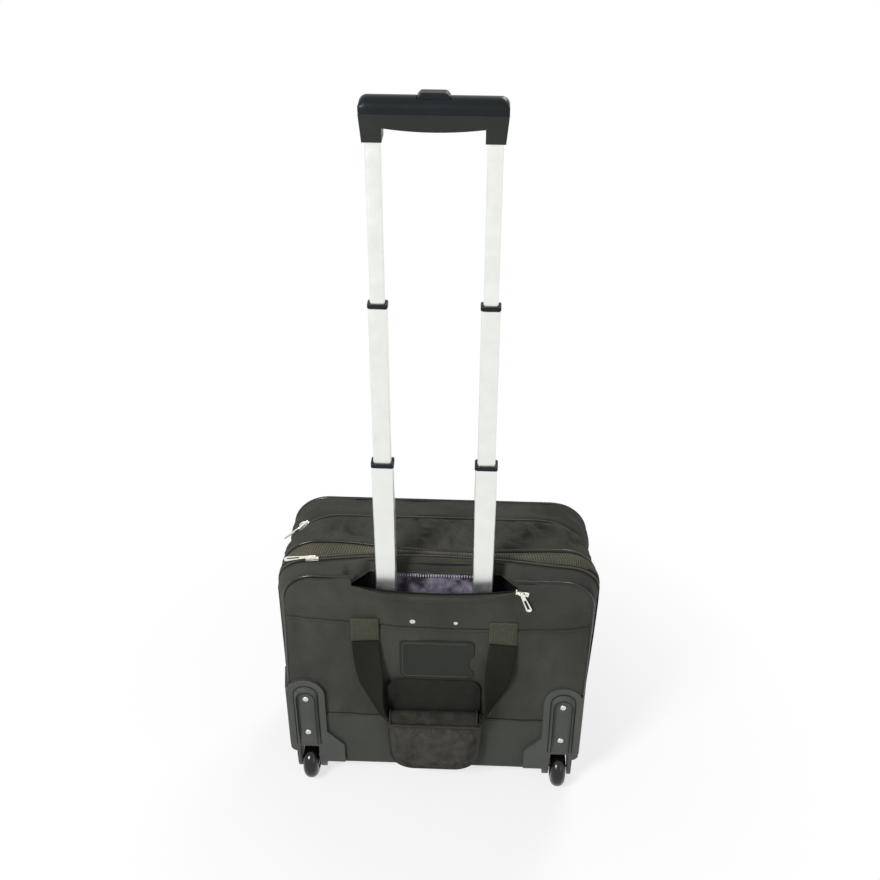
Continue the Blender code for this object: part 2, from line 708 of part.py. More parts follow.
def wheel_housing(name, side):
    def sided(points):
        return [(side * x, z) for x, z in points]

    plate_rear = REAR_Y - GAP - HOUSING_PLATE
    plate = prism(sided(housing_plate_outline()), "Y", plate_rear, REAR_Y - GAP)
    housing = add_object(f"wheel_housing_{name}", plate, "housing_plastic")
    skin_end = station_at(WELL_DEPTH)
    inner = HALF_WIDTH + GAP
    wrap = [
        (WHEEL_GAP_HIGH, plate_rear + WELD),
        (inner, plate_rear + WELD),
        (inner + HOUSING_SKIN, plate_rear + HOUSING_SKIN),
        (skin_end.half + GAP + HOUSING_SKIN, REAR_Y + WELL_DEPTH),
        (skin_end.half + GAP, REAR_Y + WELL_DEPTH),
        (inner, REAR_Y - GAP),
        (WHEEL_GAP_HIGH, REAR_Y - GAP),
    ]
    join(housing, prism(sided(wrap), "Z", HOUSING_WRAP_LOW, HOUSING_WRAP_TOP), f"housing_wrap_{name}")
    far = skin_end.half + GAP + HOUSING_SKIN
    corner = [(CHEEK_FACE, HOUSING_FOOT_LOW - SHELL)]
    for x, z in arc((0, 0), 1, -90, 0, 8):
        height = HOUSING_WRAP_LOW + HOUSING_WRAP_ROUND * (1 + z)
        corner.append((CHEEK_FACE + (far - CHEEK_FACE) * x, height))
    corner += [(far + SHELL, corner[-1][1]), (far + SHELL, HOUSING_FOOT_LOW - SHELL)]
    y = (plate_rear - SHELL, REAR_Y + WELL_DEPTH + SHELL)
    cut(housing, prism(sided(corner), "Y", *y), f"housing_corner_{name}")
    outer_cheek = (WHEEL_GAP_HIGH, CHEEK_FACE)
    profile = [(REAR_Y + depth, z) for depth, z in fork_profile()]
    for place, span in (("inner", (WELL_LOW_X, WHEEL_GAP_LOW)), ("outer", outer_cheek)):
        low, high = sorted((side * span[0], side * span[1]))
        join(housing, prism(profile, "X", low, high), f"cheek_{place}_{name}")
    x = sorted((side * (WELL_LOW_X + WELD), side * (inner + WELD)))
    rear = REAR_Y - GAP - HOUSING_PLATE / 2
    roof = box(x, (rear, REAR_Y + WELL_END - WELD), (WELL_TOP, WELL_ROOF - WELD))
    join(housing, roof, f"well_roof_{name}")
    y = (REAR_Y + WELL_DEPTH, REAR_Y + WELL_END - WELD)
    join(housing, box(x, y, (BODY_BOTTOM + WELD, WELL_ROOF - 2 * WELD)), f"well_end_{name}")
    reach = sorted((side * (WELL_LOW_X - SHELL), side * (inner + SHELL)))
    bore = turned([(AXLE_R + GAP, along) for along in reach], "X", (REAR_Y + WHEEL_Y, WHEEL_R), 16)
    cut(housing, bore, f"axle_hole_{name}")
    for z in HOUSING_RIVET_Z:
        hole = rivet_hole(side * WHEEL_X, z, plate_rear, HOUSING_PLATE * 2)
        cut(housing, hole, f"housing_rivet_hole_{name}_{round(z * 1000)}")


def wheel_set(name, side):
    centre = (REAR_Y + WHEEL_Y, WHEEL_R)
    bore = AXLE_R + GAP
    step = HUB_HALF - DISC_HALF
    half = [(bore, HUB_HALF), (HUB_R, HUB_HALF), (HUB_R + step, DISC_HALF), (DISC_R, DISC_HALF)]
    half += [(DISC_R + step, WHEEL_HALF), (WHEEL_R - TREAD_EDGE / 2, WHEEL_HALF)]
    half += [(WHEEL_R, WHEEL_HALF - TREAD_EDGE)]
    section = half + [(radius, -along) for radius, along in reversed(half)]
    section = [(radius, side * WHEEL_X + along) for radius, along in section]
    origin = (side * WHEEL_X, *centre)
    add_object(f"wheel_{name}", revolve(section, "X", centre, ROUND_STEPS), "rubber", origin, smooth=True)
    ends = sorted((side * (WELL_LOW_X + WELD), side * (CHEEK_FACE - WELD)))
    axle = turned([(AXLE_R, along) for along in ends], "X", centre, 16)
    add_object(f"wheel_axle_{name}", axle, "steel", origin, smooth=True)


def rivet(name, x, z, face):
    """A domed head on a face that looks to the rear, with its shank in the hole behind."""
    seat = face - GAP
    profile = [
        (SHANK_R, face + SHANK_LENGTH),
        (SHANK_R, seat),
        (HEAD_R, seat),
        (HEAD_R * 0.92, seat - HEAD_RISE * 0.5),
        (HEAD_R * 0.6, seat - HEAD_RISE * 0.88),
        (HEAD_R * 0.2, seat - HEAD_RISE),
    ]
    add_object(name, turned(profile, "Y", (x, z), RIVET_STEPS), "steel", smooth=True)


def rivets(name, side):
    plate_rear = REAR_Y - GAP - HOUSING_PLATE
    for place, z in zip(("upper", "lower"), HOUSING_RIVET_Z):
        rivet(f"housing_rivet_{place}_{name}", side * WHEEL_X, z, plate_rear)
    rivet(f"panel_rivet_{name}", side * PANEL_RIVET_X, PANEL_RIVET_Z, REAR_Y)


def front_foot(name, side):
    centre = (side * FOOT_X, FRONT_Y - FOOT_FROM_FRONT)
    rings = []
    for half, z in ((FOOT_TIP_HALF, 0.0), (FOOT_TOP_HALF, BODY_BOTTOM - GAP)):
        rings.append([(x, y, z) for x, y in rounded(half, half, half / 3, centre)])
    add_object(f"front_foot_{name}", loft(rings), "rubber", smooth=True)


def card_holder():
    corner = CARD_CORNER
    left, right = CARD_X - CARD_HALF, CARD_X + CARD_HALF
    outline = arc((right - corner, CARD_LOW + corner), corner, -90, 0, 4)
    notch = (CARD_NOTCH_HALF**2 + CARD_NOTCH_DEPTH**2) / (2 * CARD_NOTCH_DEPTH)
    spread = math.degrees(math.asin(CARD_NOTCH_HALF / notch))
    centre = (right + notch - CARD_NOTCH_DEPTH, CARD_NOTCH_Z)
    outline += arc(centre, notch, 180 + spread, 180 - spread, 8)
    outline += arc((right - corner, CARD_TOP - corner), corner, 0, 90, 4)
    outline += arc((left + corner, CARD_TOP - corner), corner, 90, 180, 4)
    outline += arc((left + corner, CARD_LOW + corner), corner, 180, 270, 4)
    add_object("card_holder", prism(outline, "Y", REAR_Y - GAP - CARD_THICK, REAR_Y - GAP), "vinyl")


def ribbon(name, path, finish, origin):
    """A flat strap in the plane of a face: path points (x, z, half width, rear, front)."""
    rings = []
    for i, (x, z, half, rear, front) in enumerate(path):
        before = path[max(i - 1, 0)]
        after = path[min(i + 1, len(path) - 1)]
        along = Vector((after[0] - before[0], after[1] - before[1])).normalized()
        across = Vector((-along[1], along[0])) * half
        corners = ((-1, rear), (1, rear), (1, front), (-1, front))
        rings.append([(x + s * across[0], y, z + s * across[1]) for s, y in corners])
    add_object(name, loft(rings), finish, origin)


def bezier(points, t):
    """A point on a cubic curve."""
    weights = ((1 - t) ** 3, 3 * t * (1 - t) ** 2, 3 * t * t * (1 - t), t**3)
    return [sum(w * p[k] for w, p in zip(weights, points)) for k in range(2)]


HANDLE_AXIS = (0, REAR_Y - STRAP_Y, ANCHOR_LOW - STRAP_DROP)


def strap_side(name, side):
    x = sorted((side * (ANCHOR_X - ANCHOR_HALF), side * (ANCHOR_X + ANCHOR_HALF)))
    y = (REAR_Y - GAP - ANCHOR_THICK, REAR_Y - GAP)
    add_object(f"strap_anchor_{name}", box(x, y, (ANCHOR_LOW, ANCHOR_TOP)), "webbing")
    top = ANCHOR_LOW - 2 * GAP
    end_x = WRAP_HALF + GAP
    turn_in = (end_x + STRAP_STRAIGHT, STRAP_END_Z)
    control = ((ANCHOR_X, top), STRAP_UPPER_BEND, STRAP_LOWER_BEND, turn_in)
    end_y = (REAR_STANDOFF + WRAP_INNER) / 2
    centres = [bezier(control, i / (STRAP_STEPS - 1)) for i in range(STRAP_STEPS)] + [(end_x, STRAP_END_Z)]
    path = []
    for i, (px, pz) in enumerate(centres):
        t = i / STRAP_STEPS
        half = ANCHOR_HALF + (STRAP_END_HALF - ANCHOR_HALF) * t
        middle = REAR_Y - (STRAP_Y + (end_y - STRAP_Y) * t)
        path.append((side * px, pz, half, middle - STRAP_THICK / 2, middle + STRAP_THICK / 2))
    ribbon(f"carry_strap_{name}", path, "webbing", HANDLE_AXIS)


def carry_handle_wrap():
    low, top = WRAP_LOW_CORNER, WRAP_TOP_CORNER
    right = arc((WRAP_HALF - low, WRAP_LOW + low), low, -90, 0)
    right += arc((WRAP_HALF - top, WRAP_TOP - top), top, 0, 90)
    wrap = prism(mirrored(right), "Y", REAR_Y - REAR_STANDOFF, REAR_Y - WRAP_INNER)
    add_object("carry_handle_wrap", wrap, "wrap", HANDLE_AXIS)


def front_handle():
    """A U of webbing on the lid, thicker where the hand holds it."""
    axis = (0, FRONT_Y + FRONT_STRAP_OFF, FRONT_STRAP_Z)
    rear = axis[1] - FRONT_STRAP_THICK / 2
    thin = axis[1] + FRONT_STRAP_THICK / 2
    thick = FRONT_Y + FRONT_STANDOFF
    low = FRONT_STRAP_Z - FRONT_STRAP_REACH + FRONT_STRAP_HALF
    bend = FRONT_STRAP_BEND
    right = [(FRONT_GRIP_HALF - bend, low, thick), (FRONT_GRIP_HALF, low, thick)]
    corner = (FRONT_STRAP_X - bend, low + bend)
    right += [(x, z, thin) for x, z in arc(corner, bend, -70, 0, 5)]
    right += [(FRONT_STRAP_X, FRONT_STRAP_Z + FRONT_STRAP_THICK / 4, thin)]
    path = right[::-1] + [(-x, z, front) for x, z, front in right]
    path = [(x, z, FRONT_STRAP_HALF, rear, front) for x, z, front in path]
    ribbon("front_handle_strap", path, "webbing", axis)


def local_frame(origin, along, across):
    """A mapper from (along, across, out) to world, for small parts on a slanted seat."""
    origin, along, across = Vector(origin), Vector(along).normalized(), Vector(across).normalized()
    out = along.cross(across)

    def place(a, b, c):
        return tuple(origin + along * a + across * b + out * c)

    return place


def zip_slider(name, seat, along, across, origin, lug=0.0):
    """A slider body whose underside is on the seat, pointing along its zip, with a lug under its tab."""
    place = local_frame(seat, along, across)
    half, wide = SLIDER_LENGTH / 2, SLIDER_WIDTH / 2
    narrow = wide * (1 - SLIDER_TAPER)
    outline = [(-half, -narrow), (half * 0.4, -wide), (half, -wide)]
    outline += [(a, -b) for a, b in reversed(outline)]
    rings = [[place(a, b, c) for a, b in outline] for c in (0, SLIDER_HEIGHT)]
    slider = add_object(name, loft(rings), "zip_metal", origin)
    if lug:
        square = [(-LUG_HALF, -LUG_HALF), (LUG_HALF, -LUG_HALF), (LUG_HALF, LUG_HALF), (-LUG_HALF, LUG_HALF)]
        rings = [[place(a, b, c) for a, b in square] for c in (SLIDER_HEIGHT / 2, SLIDER_HEIGHT + lug)]
        join(slider, loft(rings), f"{name}_lug")


def zip_tab(name, hinge, along, across):
    """A flat pull that starts at its hinge."""
    place = local_frame(hinge, along, across)
    wide, thin = TAB_WIDTH / 2, TAB_THICK / 2
    outline = [(-thin, -wide * 0.6), (TAB_LENGTH * 0.3, -wide * 0.7)]
    outline += [(TAB_LENGTH * 0.85, -wide), (TAB_LENGTH, -wide * 0.6)]
    outline += [(a, -b) for a, b in reversed(outline)]
    rings = [[place(a, b, c) for a, b in outline] for c in (-thin, thin)]
    add_object(name, loft(rings), "zip_metal", hinge)


def slot_zip():
    """The slider parked at the right end of the trolley slot, its tab hanging down."""
    seat = (SLOT_SLIDER_X, REAR_Y - GAP, SLOT_SLIDER_Z)
    zip_slider("slot_zip_slider", seat, (1, 0, 0), (0, 0, 1), seat, SLOT_BAIL - LUG_CLEAR)
    hinge_y = REAR_Y - GAP - SLIDER_HEIGHT - SLOT_BAIL
    zip_tab("slot_zip_tab", (SLOT_SLIDER_X, hinge_y, SLOT_SLIDER_Z), (0, 0, -1), (1, 0, 0))


def rear_zip():
    """The slider on the strip beside the rear zip, its tab pointing to the left corner."""
    depth = REAR_ZIP_Y - GAP - SLIDER_WIDTH / 2
    seat_z = station_at(REAR_ZIP_Y).top + GAP
    seat = (REAR_SLIDER_X, REAR_Y + depth, seat_z)
    zip_slider("rear_zip_slider", seat, (-1, 0, 0), (0, -1, 0), seat)
    hinge = (REAR_SLIDER_X - SLIDER_LENGTH / 2 - TAB_PIVOT, seat[1], seat_z + SLIDER_HEIGHT / 2)
    zip_tab("rear_zip_tab", hinge, (-1, 0, 0), (0, -1, 0))


def front_zip():
    """The slider on the upper left corner beside the front zip, its tab hanging along the corner."""
    turn = math.radians(FRONT_SLIDER_ANGLE)
    outward = Vector((-math.sin(turn), 0, math.cos(turn)))
    along = Vector((-math.cos(turn), 0, -math.sin(turn)))
    station = station_at(FRONT_ZIP_Y - SLIDER_WIDTH)
    y = REAR_Y + FRONT_ZIP_Y - GAP - SLIDER_WIDTH / 2
    centre = Vector((-(station.half - station.radius), y, station.top - station.radius))
    seat = centre + outward * (station.radius + 2 * GAP)
    zip_slider("front_zip_slider", seat, along, (0, -1, 0), centre)
    hinge = seat + along * (SLIDER_LENGTH / 2 + TAB_PIVOT) + outward * SLIDER_HEIGHT / 2
    zip_tab("front_zip_tab", tuple(hinge), along, (0, -1, 0))


def main():
    clear_scene()
    rear_panel()
    rear_kick_panel()
    base_tray()
    rear_gusset()
    trolley_pocket_board()
    main_gusset()
    divider_panel()
    front_lid()
    pipings()
    trolley_brackets()
    for maker in (trolley_side, wheel_housing, wheel_set, rivets, front_foot, strap_side):
        side_pairs(maker)
    grip_body()
    grip_cover()
    release_parts()
    card_holder()
    carry_handle_wrap()
    front_handle()
    slot_zip()
    rear_zip()
    front_zip()


main()
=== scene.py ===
"""Looks of the rolling laptop case: cloth, vinyl, webbing, zips, plastic and metal round the CAD frame."""

import itertools
import json
import math

import bmesh
import bpy
import numpy as np
from mathutils import Matrix, Vector, noise

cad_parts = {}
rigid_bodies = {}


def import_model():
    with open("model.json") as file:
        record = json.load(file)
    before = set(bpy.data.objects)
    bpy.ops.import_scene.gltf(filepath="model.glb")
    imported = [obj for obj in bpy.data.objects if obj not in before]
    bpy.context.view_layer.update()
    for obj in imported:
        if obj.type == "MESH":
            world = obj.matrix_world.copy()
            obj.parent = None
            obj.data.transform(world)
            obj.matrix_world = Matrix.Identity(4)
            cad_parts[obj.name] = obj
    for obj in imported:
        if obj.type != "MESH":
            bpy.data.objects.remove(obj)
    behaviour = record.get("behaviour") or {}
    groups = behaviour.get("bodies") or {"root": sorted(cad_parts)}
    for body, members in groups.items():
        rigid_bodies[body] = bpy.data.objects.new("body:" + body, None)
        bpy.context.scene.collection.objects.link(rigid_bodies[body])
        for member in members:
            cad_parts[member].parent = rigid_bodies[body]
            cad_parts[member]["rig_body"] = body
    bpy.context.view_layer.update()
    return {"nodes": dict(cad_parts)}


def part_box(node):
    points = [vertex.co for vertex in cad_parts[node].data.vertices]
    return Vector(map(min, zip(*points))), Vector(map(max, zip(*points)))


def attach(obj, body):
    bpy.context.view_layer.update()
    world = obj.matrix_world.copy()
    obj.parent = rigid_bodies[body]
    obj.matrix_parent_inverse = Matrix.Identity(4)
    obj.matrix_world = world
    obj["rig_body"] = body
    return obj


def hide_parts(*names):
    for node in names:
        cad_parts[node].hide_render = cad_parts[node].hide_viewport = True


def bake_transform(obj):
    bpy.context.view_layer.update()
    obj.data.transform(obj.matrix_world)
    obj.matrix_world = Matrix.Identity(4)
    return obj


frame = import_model()

# Shape of the case, as in the CAD: depth from the rear plane, half width, top, corner radius
STATIONS = np.array([
    (0.0000, 0.2050, 0.3878, 0.040),
    (0.0375, 0.2110, 0.3895, 0.042),
    (0.0620, 0.2080, 0.3920, 0.045),
    (0.1000, 0.2085, 0.3925, 0.060),
    (0.1300, 0.2095, 0.3895, 0.074),
    (0.1900, 0.2105, 0.3760, 0.050),
])
# Faces and edges, from the frame
REAR_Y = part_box("rear_panel")[0].y
FRONT_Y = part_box("front_lid")[1].y
SHELL_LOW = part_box("main_gusset")[0].z
BODY_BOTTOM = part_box("base_tray")[0].z
KICK_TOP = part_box("rear_kick_panel")[1].z
# Depths of the zips, the middle piping and the front; where the top starts; thickness of the cloth
REAR_ZIP_D, MIDDLE_D, _, FRONT_ZIP_D, CASE_DEPTH = STATIONS[1:, 0]
TOP_FROM = 0.36
CLOTH = 0.0026
# Sides and directions
SIDES = (("left", -1), ("right", 1))
REARWARD = (0, -1, 0)
FORWARD = (0, 1, 0)
# Trolley slot: half width, height of its lip's ends, sag of the lip, how far the band in front rolls in
SLOT_HALF = 0.109
LIP_END = 0.3713
LIP_SAG = 0.0095
SLOT_ROLL = 0.0160
# Depth where the rear band starts, its cut over the slot, and how the rear zip is pushed and pulled there
BAND_START = 0.0036
SLOT_CUT = 0.0287
SLOT_PUSH = 0.0100
CORNER_PULL = 0.0065
# Cloth in the trolley slot: half width, depth, lower and upper edge
SLOT_CLOTH_HALF = 0.074
SLOT_CLOTH_D = 0.0322
SLOT_CLOTH_Z = (0.250, 0.3715)
# How a full case carries its cloth: the rear face leans, the right side swells, the top sags
LEAN_LEFT = 0.0070
LEAN_RIGHT = 0.0020
SIDE_SWELL = 0.0085
TOP_SAG = 0.0045
# Waves and creased folds in cloth, layer by layer: height, waves per metre both ways, seed, octaves
REAR_BAND_WAVES = ((0.0014, 16, 26, 1.7), (0.0005, 60, 50, 4.1))
GATHERED_WAVES = ((0.0020, 17, 30, 3.3),)
BELLY_WAVES = ((0.0040, 7, 9, 6.4),)
BELLY_PUCKER = (0.0066, 24, 20, 5.5, 3)
BELLY_DRAG = (0.0046, 26, 10, 9.1)
LID_BAND_WAVES = ((0.0042, 11, 18, 7.3),)
LID_BAND_DRAG = (1.0, 24, 13, 2.9)
PANEL_WAVES = ((0.0030, 8, 6, 1.1), (0.0008, 24, 18, 2.6))
PANEL_DRAG = (0.0017, 15, 7, 6.6)
KICK_WAVES = ((0.0007, 9, 8, 3.8), (0.0003, 30, 22, 5.2))
LID_WAVES = ((0.0009, 8, 7, 12.2), (0.0005, 22, 20, 13.4))
SLOT_CRUMPLE = (0.0010, 34, 24, 31.0, 3)
PAD_WAVES = ((0.0010, 24, 22, 41.0),)
FLAP_WAVES = ((0.0006, 22, 20, 61.0),)
# Rear panel: half width, and its cross seam's height, slope and sag, and the radius of the dark cord that
# paints the shade in the seam's gap
PANEL_HALF = 0.2042
SEAM_Z = 0.3200
SEAM_SLOPE = -0.0176
SEAM_SAG = 0.0159
SEAM_R = 0.0009
# Kick panel: half width and the radius of its foot
KICK_HALF = 0.163
KICK_FOOT = 0.0065
# Lid: its face inside the piping, its seam and its pocket
LID_HALF, LID_TOP, LID_CORNER = (value - 0.0030 for value in STATIONS[-1, 1:])
LID_SEAM = 0.3260
LID_POCKET_HALF = 0.156
# Piping, zips and sewing; a tooth and a stitch are spindles of these half sizes
PIPING_R = 0.0025
ZIP_HALF = 0.0042
TOOTH = (0.0019, 0.0008, 0.0010)
TOOTH_PITCH = 0.0023
STITCH = (0.00125, 0.00036, 0.00042)
STITCH_PITCH = 0.0034
CROSS_PITCH = 0.0030
SPINDLE = ((-1, 0, 0), (-0.6, 0.7, 0.5), (-0.6, -0.7, 0.5), (0.6, 0.7, 0.5), (0.6, -0.7, 0.5), (1, 0, 0),
           (0, 0, 1), (0, 0, -0.6))
SPINDLE_FACES = ((0, 2, 6, 1), (6, 2, 4), (6, 4, 5, 3), (6, 3, 1), (0, 1, 7), (0, 7, 2), (2, 7, 4), (4, 7, 5),
                 (5, 7, 3), (3, 7, 1))
# Zip sliders and pulls; the slot's is parked at this x and z, and turns and the front one's place are degrees
SLOT_SLIDER_TURN = -10
SLOT_PULL_TURN = 22
FRONT_SLIDER_AT = 45
SLIDER_HALF = 0.0088
TAB_REACH = 0.0305
TAB_HALF = 0.0040
SLOT_SLIDER = (SLOT_HALF + 0.0062, 0.3728)
# Hard parts
TUBE_WALL = 0.0013
TUBE_CORNER = 0.0024
WHEEL_SHOULDER = 0.0152
WHEEL_SPLIT = 0.0144
EDGE_EASE = 0.0004
# Ridge on a wheel housing: its middle, face, foot and rise, and half width and bend height of its two edges
RIDGE_X = 0.181
RIDGE_OUT = 0.0058
RIDGE_FOOT = 0.074
RIDGE_RISE = 0.0040
RIDGE_LINES = ((0.0172, 0.1735), (0.0130, 0.1686))
# Degrees: facets this close count as flat, and edges sharper than this are rounded
FLAT = 0.5
CREASE = 32
# Carry handle: its straps, and the wrap's half width, heights, lower corners, taper and middle
ANCHOR_X = 0.093
STRAP_HALF = 0.0185
WRAP_HALF = 0.0655
WRAP_LOW = 0.0410
FLAP_Z = 0.1350
WRAP_TOP = 0.1540
WRAP_CORNER = 0.032
WRAP_TAPER = 0.0045
WRAP_MIDDLE = REAR_Y - 0.0125
# Filling of the wrap's pad: its cloth, how long it swells and how far it may move
PAD_CLOTH = {
    "quality": 7, "mass": 0.15, "tension_stiffness": 22, "compression_stiffness": 22,
    "bending_stiffness": 0.15, "shrink_min": -0.07, "use_pressure": True, "uniform_pressure_force": 3.0,
}
PAD_FRAMES = 20
PAD_SWELL = 0.0045
# Front handle: height of its hinge, its legs and its grip
FRONT_AXIS_Z = 0.300
FRONT_LEG_X = 0.070
FRONT_WEB_HALF = 0.0160
FRONT_GRIP_HALF = 0.038
# Steps over the arch of the case: up a side, round a corner, across the top; and depths to work it out at
SIDE_STEPS = 58
CORNER_STEPS = 18
TOP_STEPS = 101
TABLE_DEPTHS = np.linspace(0, CASE_DEPTH, 77)
PATH_STEP = 0.004
# Cloth that lies between two bodies and is left in place: the bodies, and where the bend starts and ends
BENDS = {
    "lean": ("case_base", "front_half", (0, 0, 0.128), (0, 0, 0.215)),
    "lid_hinge": ("front_half", "lid", (0, 0, SHELL_LOW - 0.004), (0, 0, SHELL_LOW + 0.008)),
}

# Camera fitted to the photograph
CAMERA_AT = (0.0556, -1.2242, 1.3747)
CAMERA_PITCH = 34.0108
CAMERA_YAW = -2.424
CAMERA_ROLL = 0.1285
LENS = 47.04
SENSOR = 36.0
# Light: the strength of the surroundings, and lamps by name, place, aim, width and watts
WORLD_LIGHT = 0.24
LAMPS = (
    ("key", (-1.15, -1.55, 1.80), (0, 0, 0.30), 0.6, 48.0),
    ("fill", (2.0, -1.7, 1.2), (0, 0, 0.25), 1.2, 5.0),
    ("back", (0.9, 1.9, 2.3), (0, 0, 0.35), 1.0, 36.0),
)
FLOOR_HALF = 6.0
# Cloth: its shine, and the pitch of the threads both ways in cloth and in straps
CLOTH_SPECULAR = 0.04
WEAVE = (0.0011, 0.0009)
STRAP_WEAVE = (0.0022, 0.0012)
RIB_PITCH = 0.0034


def srgb(red, green, blue):
    """A colour seen on a screen, 0 to 255, as linear light with alpha."""
    shares = [value / 255 for value in (red, green, blue)]
    linear = [s / 12.92 if s <= 0.04045 else ((s + 0.055) / 1.055) ** 2.4 for s in shares]
    return (*linear, 1.0)


class Graph:
    """The node tree of a material or of the world, with one call for each node."""

    def __init__(self, name, kind=bpy.data.materials):
        self.owner = kind.new(name)
        self.owner.use_nodes = True
        self.tree = self.owner.node_tree

    def add(self, kind, settings=(), **inputs):
        """A node with its settings, and its inputs by name as values or as sockets to link."""
        node = self.tree.nodes.new(kind)
        for key, value in dict(settings).items():
            setattr(node, key, value)
        self.feed(node, **inputs)
        return node

    def feed(self, node, **inputs):
        for key, value in inputs.items():
            socket = node.inputs[int(key[1:]) if key[1:].isdigit() else key.replace("_", " ")]
            if isinstance(value, bpy.types.NodeSocket):
                self.tree.links.new(value, socket)
            else:
                socket.default_value = value

    def math(self, operation, a, b=0.0):
        return self.add("ShaderNodeMath", {"operation": operation}, _0=a, _1=b).outputs[0]

    def times(self, a, b):
        return self.math("MULTIPLY", a, b)

    def place(self, scale=(1, 1, 1)):
        """The object's own coordinates in metres, scaled."""
        coordinates = self.add("ShaderNodeTexCoord").outputs["Object"]
        return self.add("ShaderNodeMapping", Vector=coordinates, Scale=scale).outputs[0]

    def cloth_uv(self):
        """Metres along and across the cloth."""
        return self.add("ShaderNodeUVMap", {"uv_map": "cloth"}).outputs[0]

    def noise(self, vector, scale, detail=3.0, roughness=0.55):
        node = self.add("ShaderNodeTexNoise", Vector=vector, Scale=scale, Detail=detail, Roughness=roughness)
        return node.outputs["Fac"]

    def spread(self, value, low, high, to_low, to_high):
        node = self.add("ShaderNodeMapRange", Value=value, From_Min=low, From_Max=high)
        self.feed(node, To_Min=to_low, To_Max=to_high)
        return node.outputs[0]

    def shade(self, colour, amount):
        """A colour made darker or lighter by a factor that varies over the surface."""
        node = self.add("ShaderNodeMix", {"data_type": "RGBA", "blend_type": "MULTIPLY"}, Factor=1.0)
        node.inputs[6].default_value = srgb(*colour)
        grey = self.add("ShaderNodeCombineColor", Red=amount, Green=amount, Blue=amount).outputs[0]
        self.tree.links.new(grey, node.inputs[7])
        return node.outputs[2]

    def bump(self, height, depth, strength=1.0, under=None):
        node = self.add("ShaderNodeBump", Height=height, Distance=depth, Strength=strength)
        if under is not None:
            self.feed(node, Normal=under)
        return node.outputs[0]

    def surface(self, colour, shade, roughness, **inputs):
        """The finished material: a colour, what varies over it, and other inputs of its shader."""
        shader = self.tree.nodes["Principled BSDF"]
        self.feed(shader, Base_Color=self.shade(colour, shade), Roughness=roughness, **inputs)
        return self.owner

    def shown(self):
        """1 for rays that the camera sees directly, in a shine or through something."""
        rays = self.add("ShaderNodeLightPath").outputs
        seen = self.math("MAXIMUM", rays["Is Camera Ray"], rays["Is Glossy Ray"])
        return self.math("MAXIMUM", seen, rays["Is Transmission Ray"])


def weave_height(graph, pitch_u, pitch_v):
    """Over and under threads: each thread is a ridge, and a checker says which one lies on top."""
    parts = graph.add("ShaderNodeSeparateXYZ", Vector=graph.cloth_uv())
    turn_u = graph.times(parts.outputs[0], math.pi / pitch_u)
    turn_v = graph.times(parts.outputs[1], math.pi / pitch_v)
    sin_u = graph.math("SINE", turn_u)
    sin_v = graph.math("SINE", turn_v)
    over = graph.times(sin_u, sin_v)
    ridge_u = graph.math("ABSOLUTE", sin_u)
    ridge_v = graph.math("ABSOLUTE", sin_v)
    on_top = graph.math("GREATER_THAN", over, 0.0)
    warp = graph.times(ridge_u, on_top)
    weft = graph.times(ridge_v, graph.math("SUBTRACT", 1.0, on_top))
    return graph.math("ADD", warp, weft)


def woven(name, colour, pitch=WEAVE, depth=0.00025, rough=(0.5, 0.66), painted_shade=0.10, crumple=0.001):
    """Cloth with its weave, soft crumples, threads painted darker between their crowns, and broad patches of
    painted shade and sheen for the light on slack folds.
    """
    graph = Graph(name)
    weave = weave_height(graph, *pitch)
    broad = graph.noise(graph.place((1.0, 1.0, 0.7)), 11.0, 3.0)
    fine = graph.noise(graph.place(), 420.0, 2.0)
    # Painted shade and sheen: broad patches made lighter and darker, then the threads painted darker between
    # their crowns
    shade = graph.spread(broad, 0.36, 0.64, 1.0 - painted_shade, 1.0 + painted_shade)
    shade = graph.times(shade, graph.spread(weave, 0.0, 1.0, 0.84, 1.08))
    shade = graph.times(shade, graph.spread(fine, 0.3, 0.7, 0.95, 1.05))
    soft = graph.bump(graph.noise(graph.place((1.0, 1.0, 0.6)), 24.0, 1.0), crumple)
    normal = graph.bump(weave, depth, 0.8, soft)
    roughness = graph.spread(broad, 0.3, 0.7, *rough)
    return graph.surface(colour, shade, roughness, Normal=normal, Specular_IOR_Level=CLOTH_SPECULAR)


def ribbed(name, colour):
    """Ribbed cloth: ridges across the band, painted lighter on top and darker between them for the light and
    shade on the ribs, over a fine weave.
    """
    graph = Graph(name)
    parts = graph.add("ShaderNodeSeparateXYZ", Vector=graph.cloth_uv())
    wander = graph.times(graph.noise(graph.place(), 30.0, 2.0), 0.004)
    turn = graph.times(graph.math("ADD", parts.outputs[0], wander), 2 * math.pi / RIB_PITCH)
    ridge = graph.spread(graph.math("SINE", turn), -1.0, 1.0, 0.0, 1.0)
    broad = graph.spread(graph.noise(graph.place(), 16.0, 3.0), 0.3, 0.7, 0.8, 1.2)
    # Painted light on the ridges and painted shade in the hollows between them
    shade = graph.times(graph.spread(ridge, 0.0, 1.0, 0.58, 1.36), broad)
    weave = graph.bump(weave_height(graph, *WEAVE), 0.0002, 0.6)
    normal = graph.bump(ridge, 0.0009, 0.9, weave)
    return graph.surface(colour, shade, 0.55, Normal=normal, Specular_IOR_Level=CLOTH_SPECULAR)


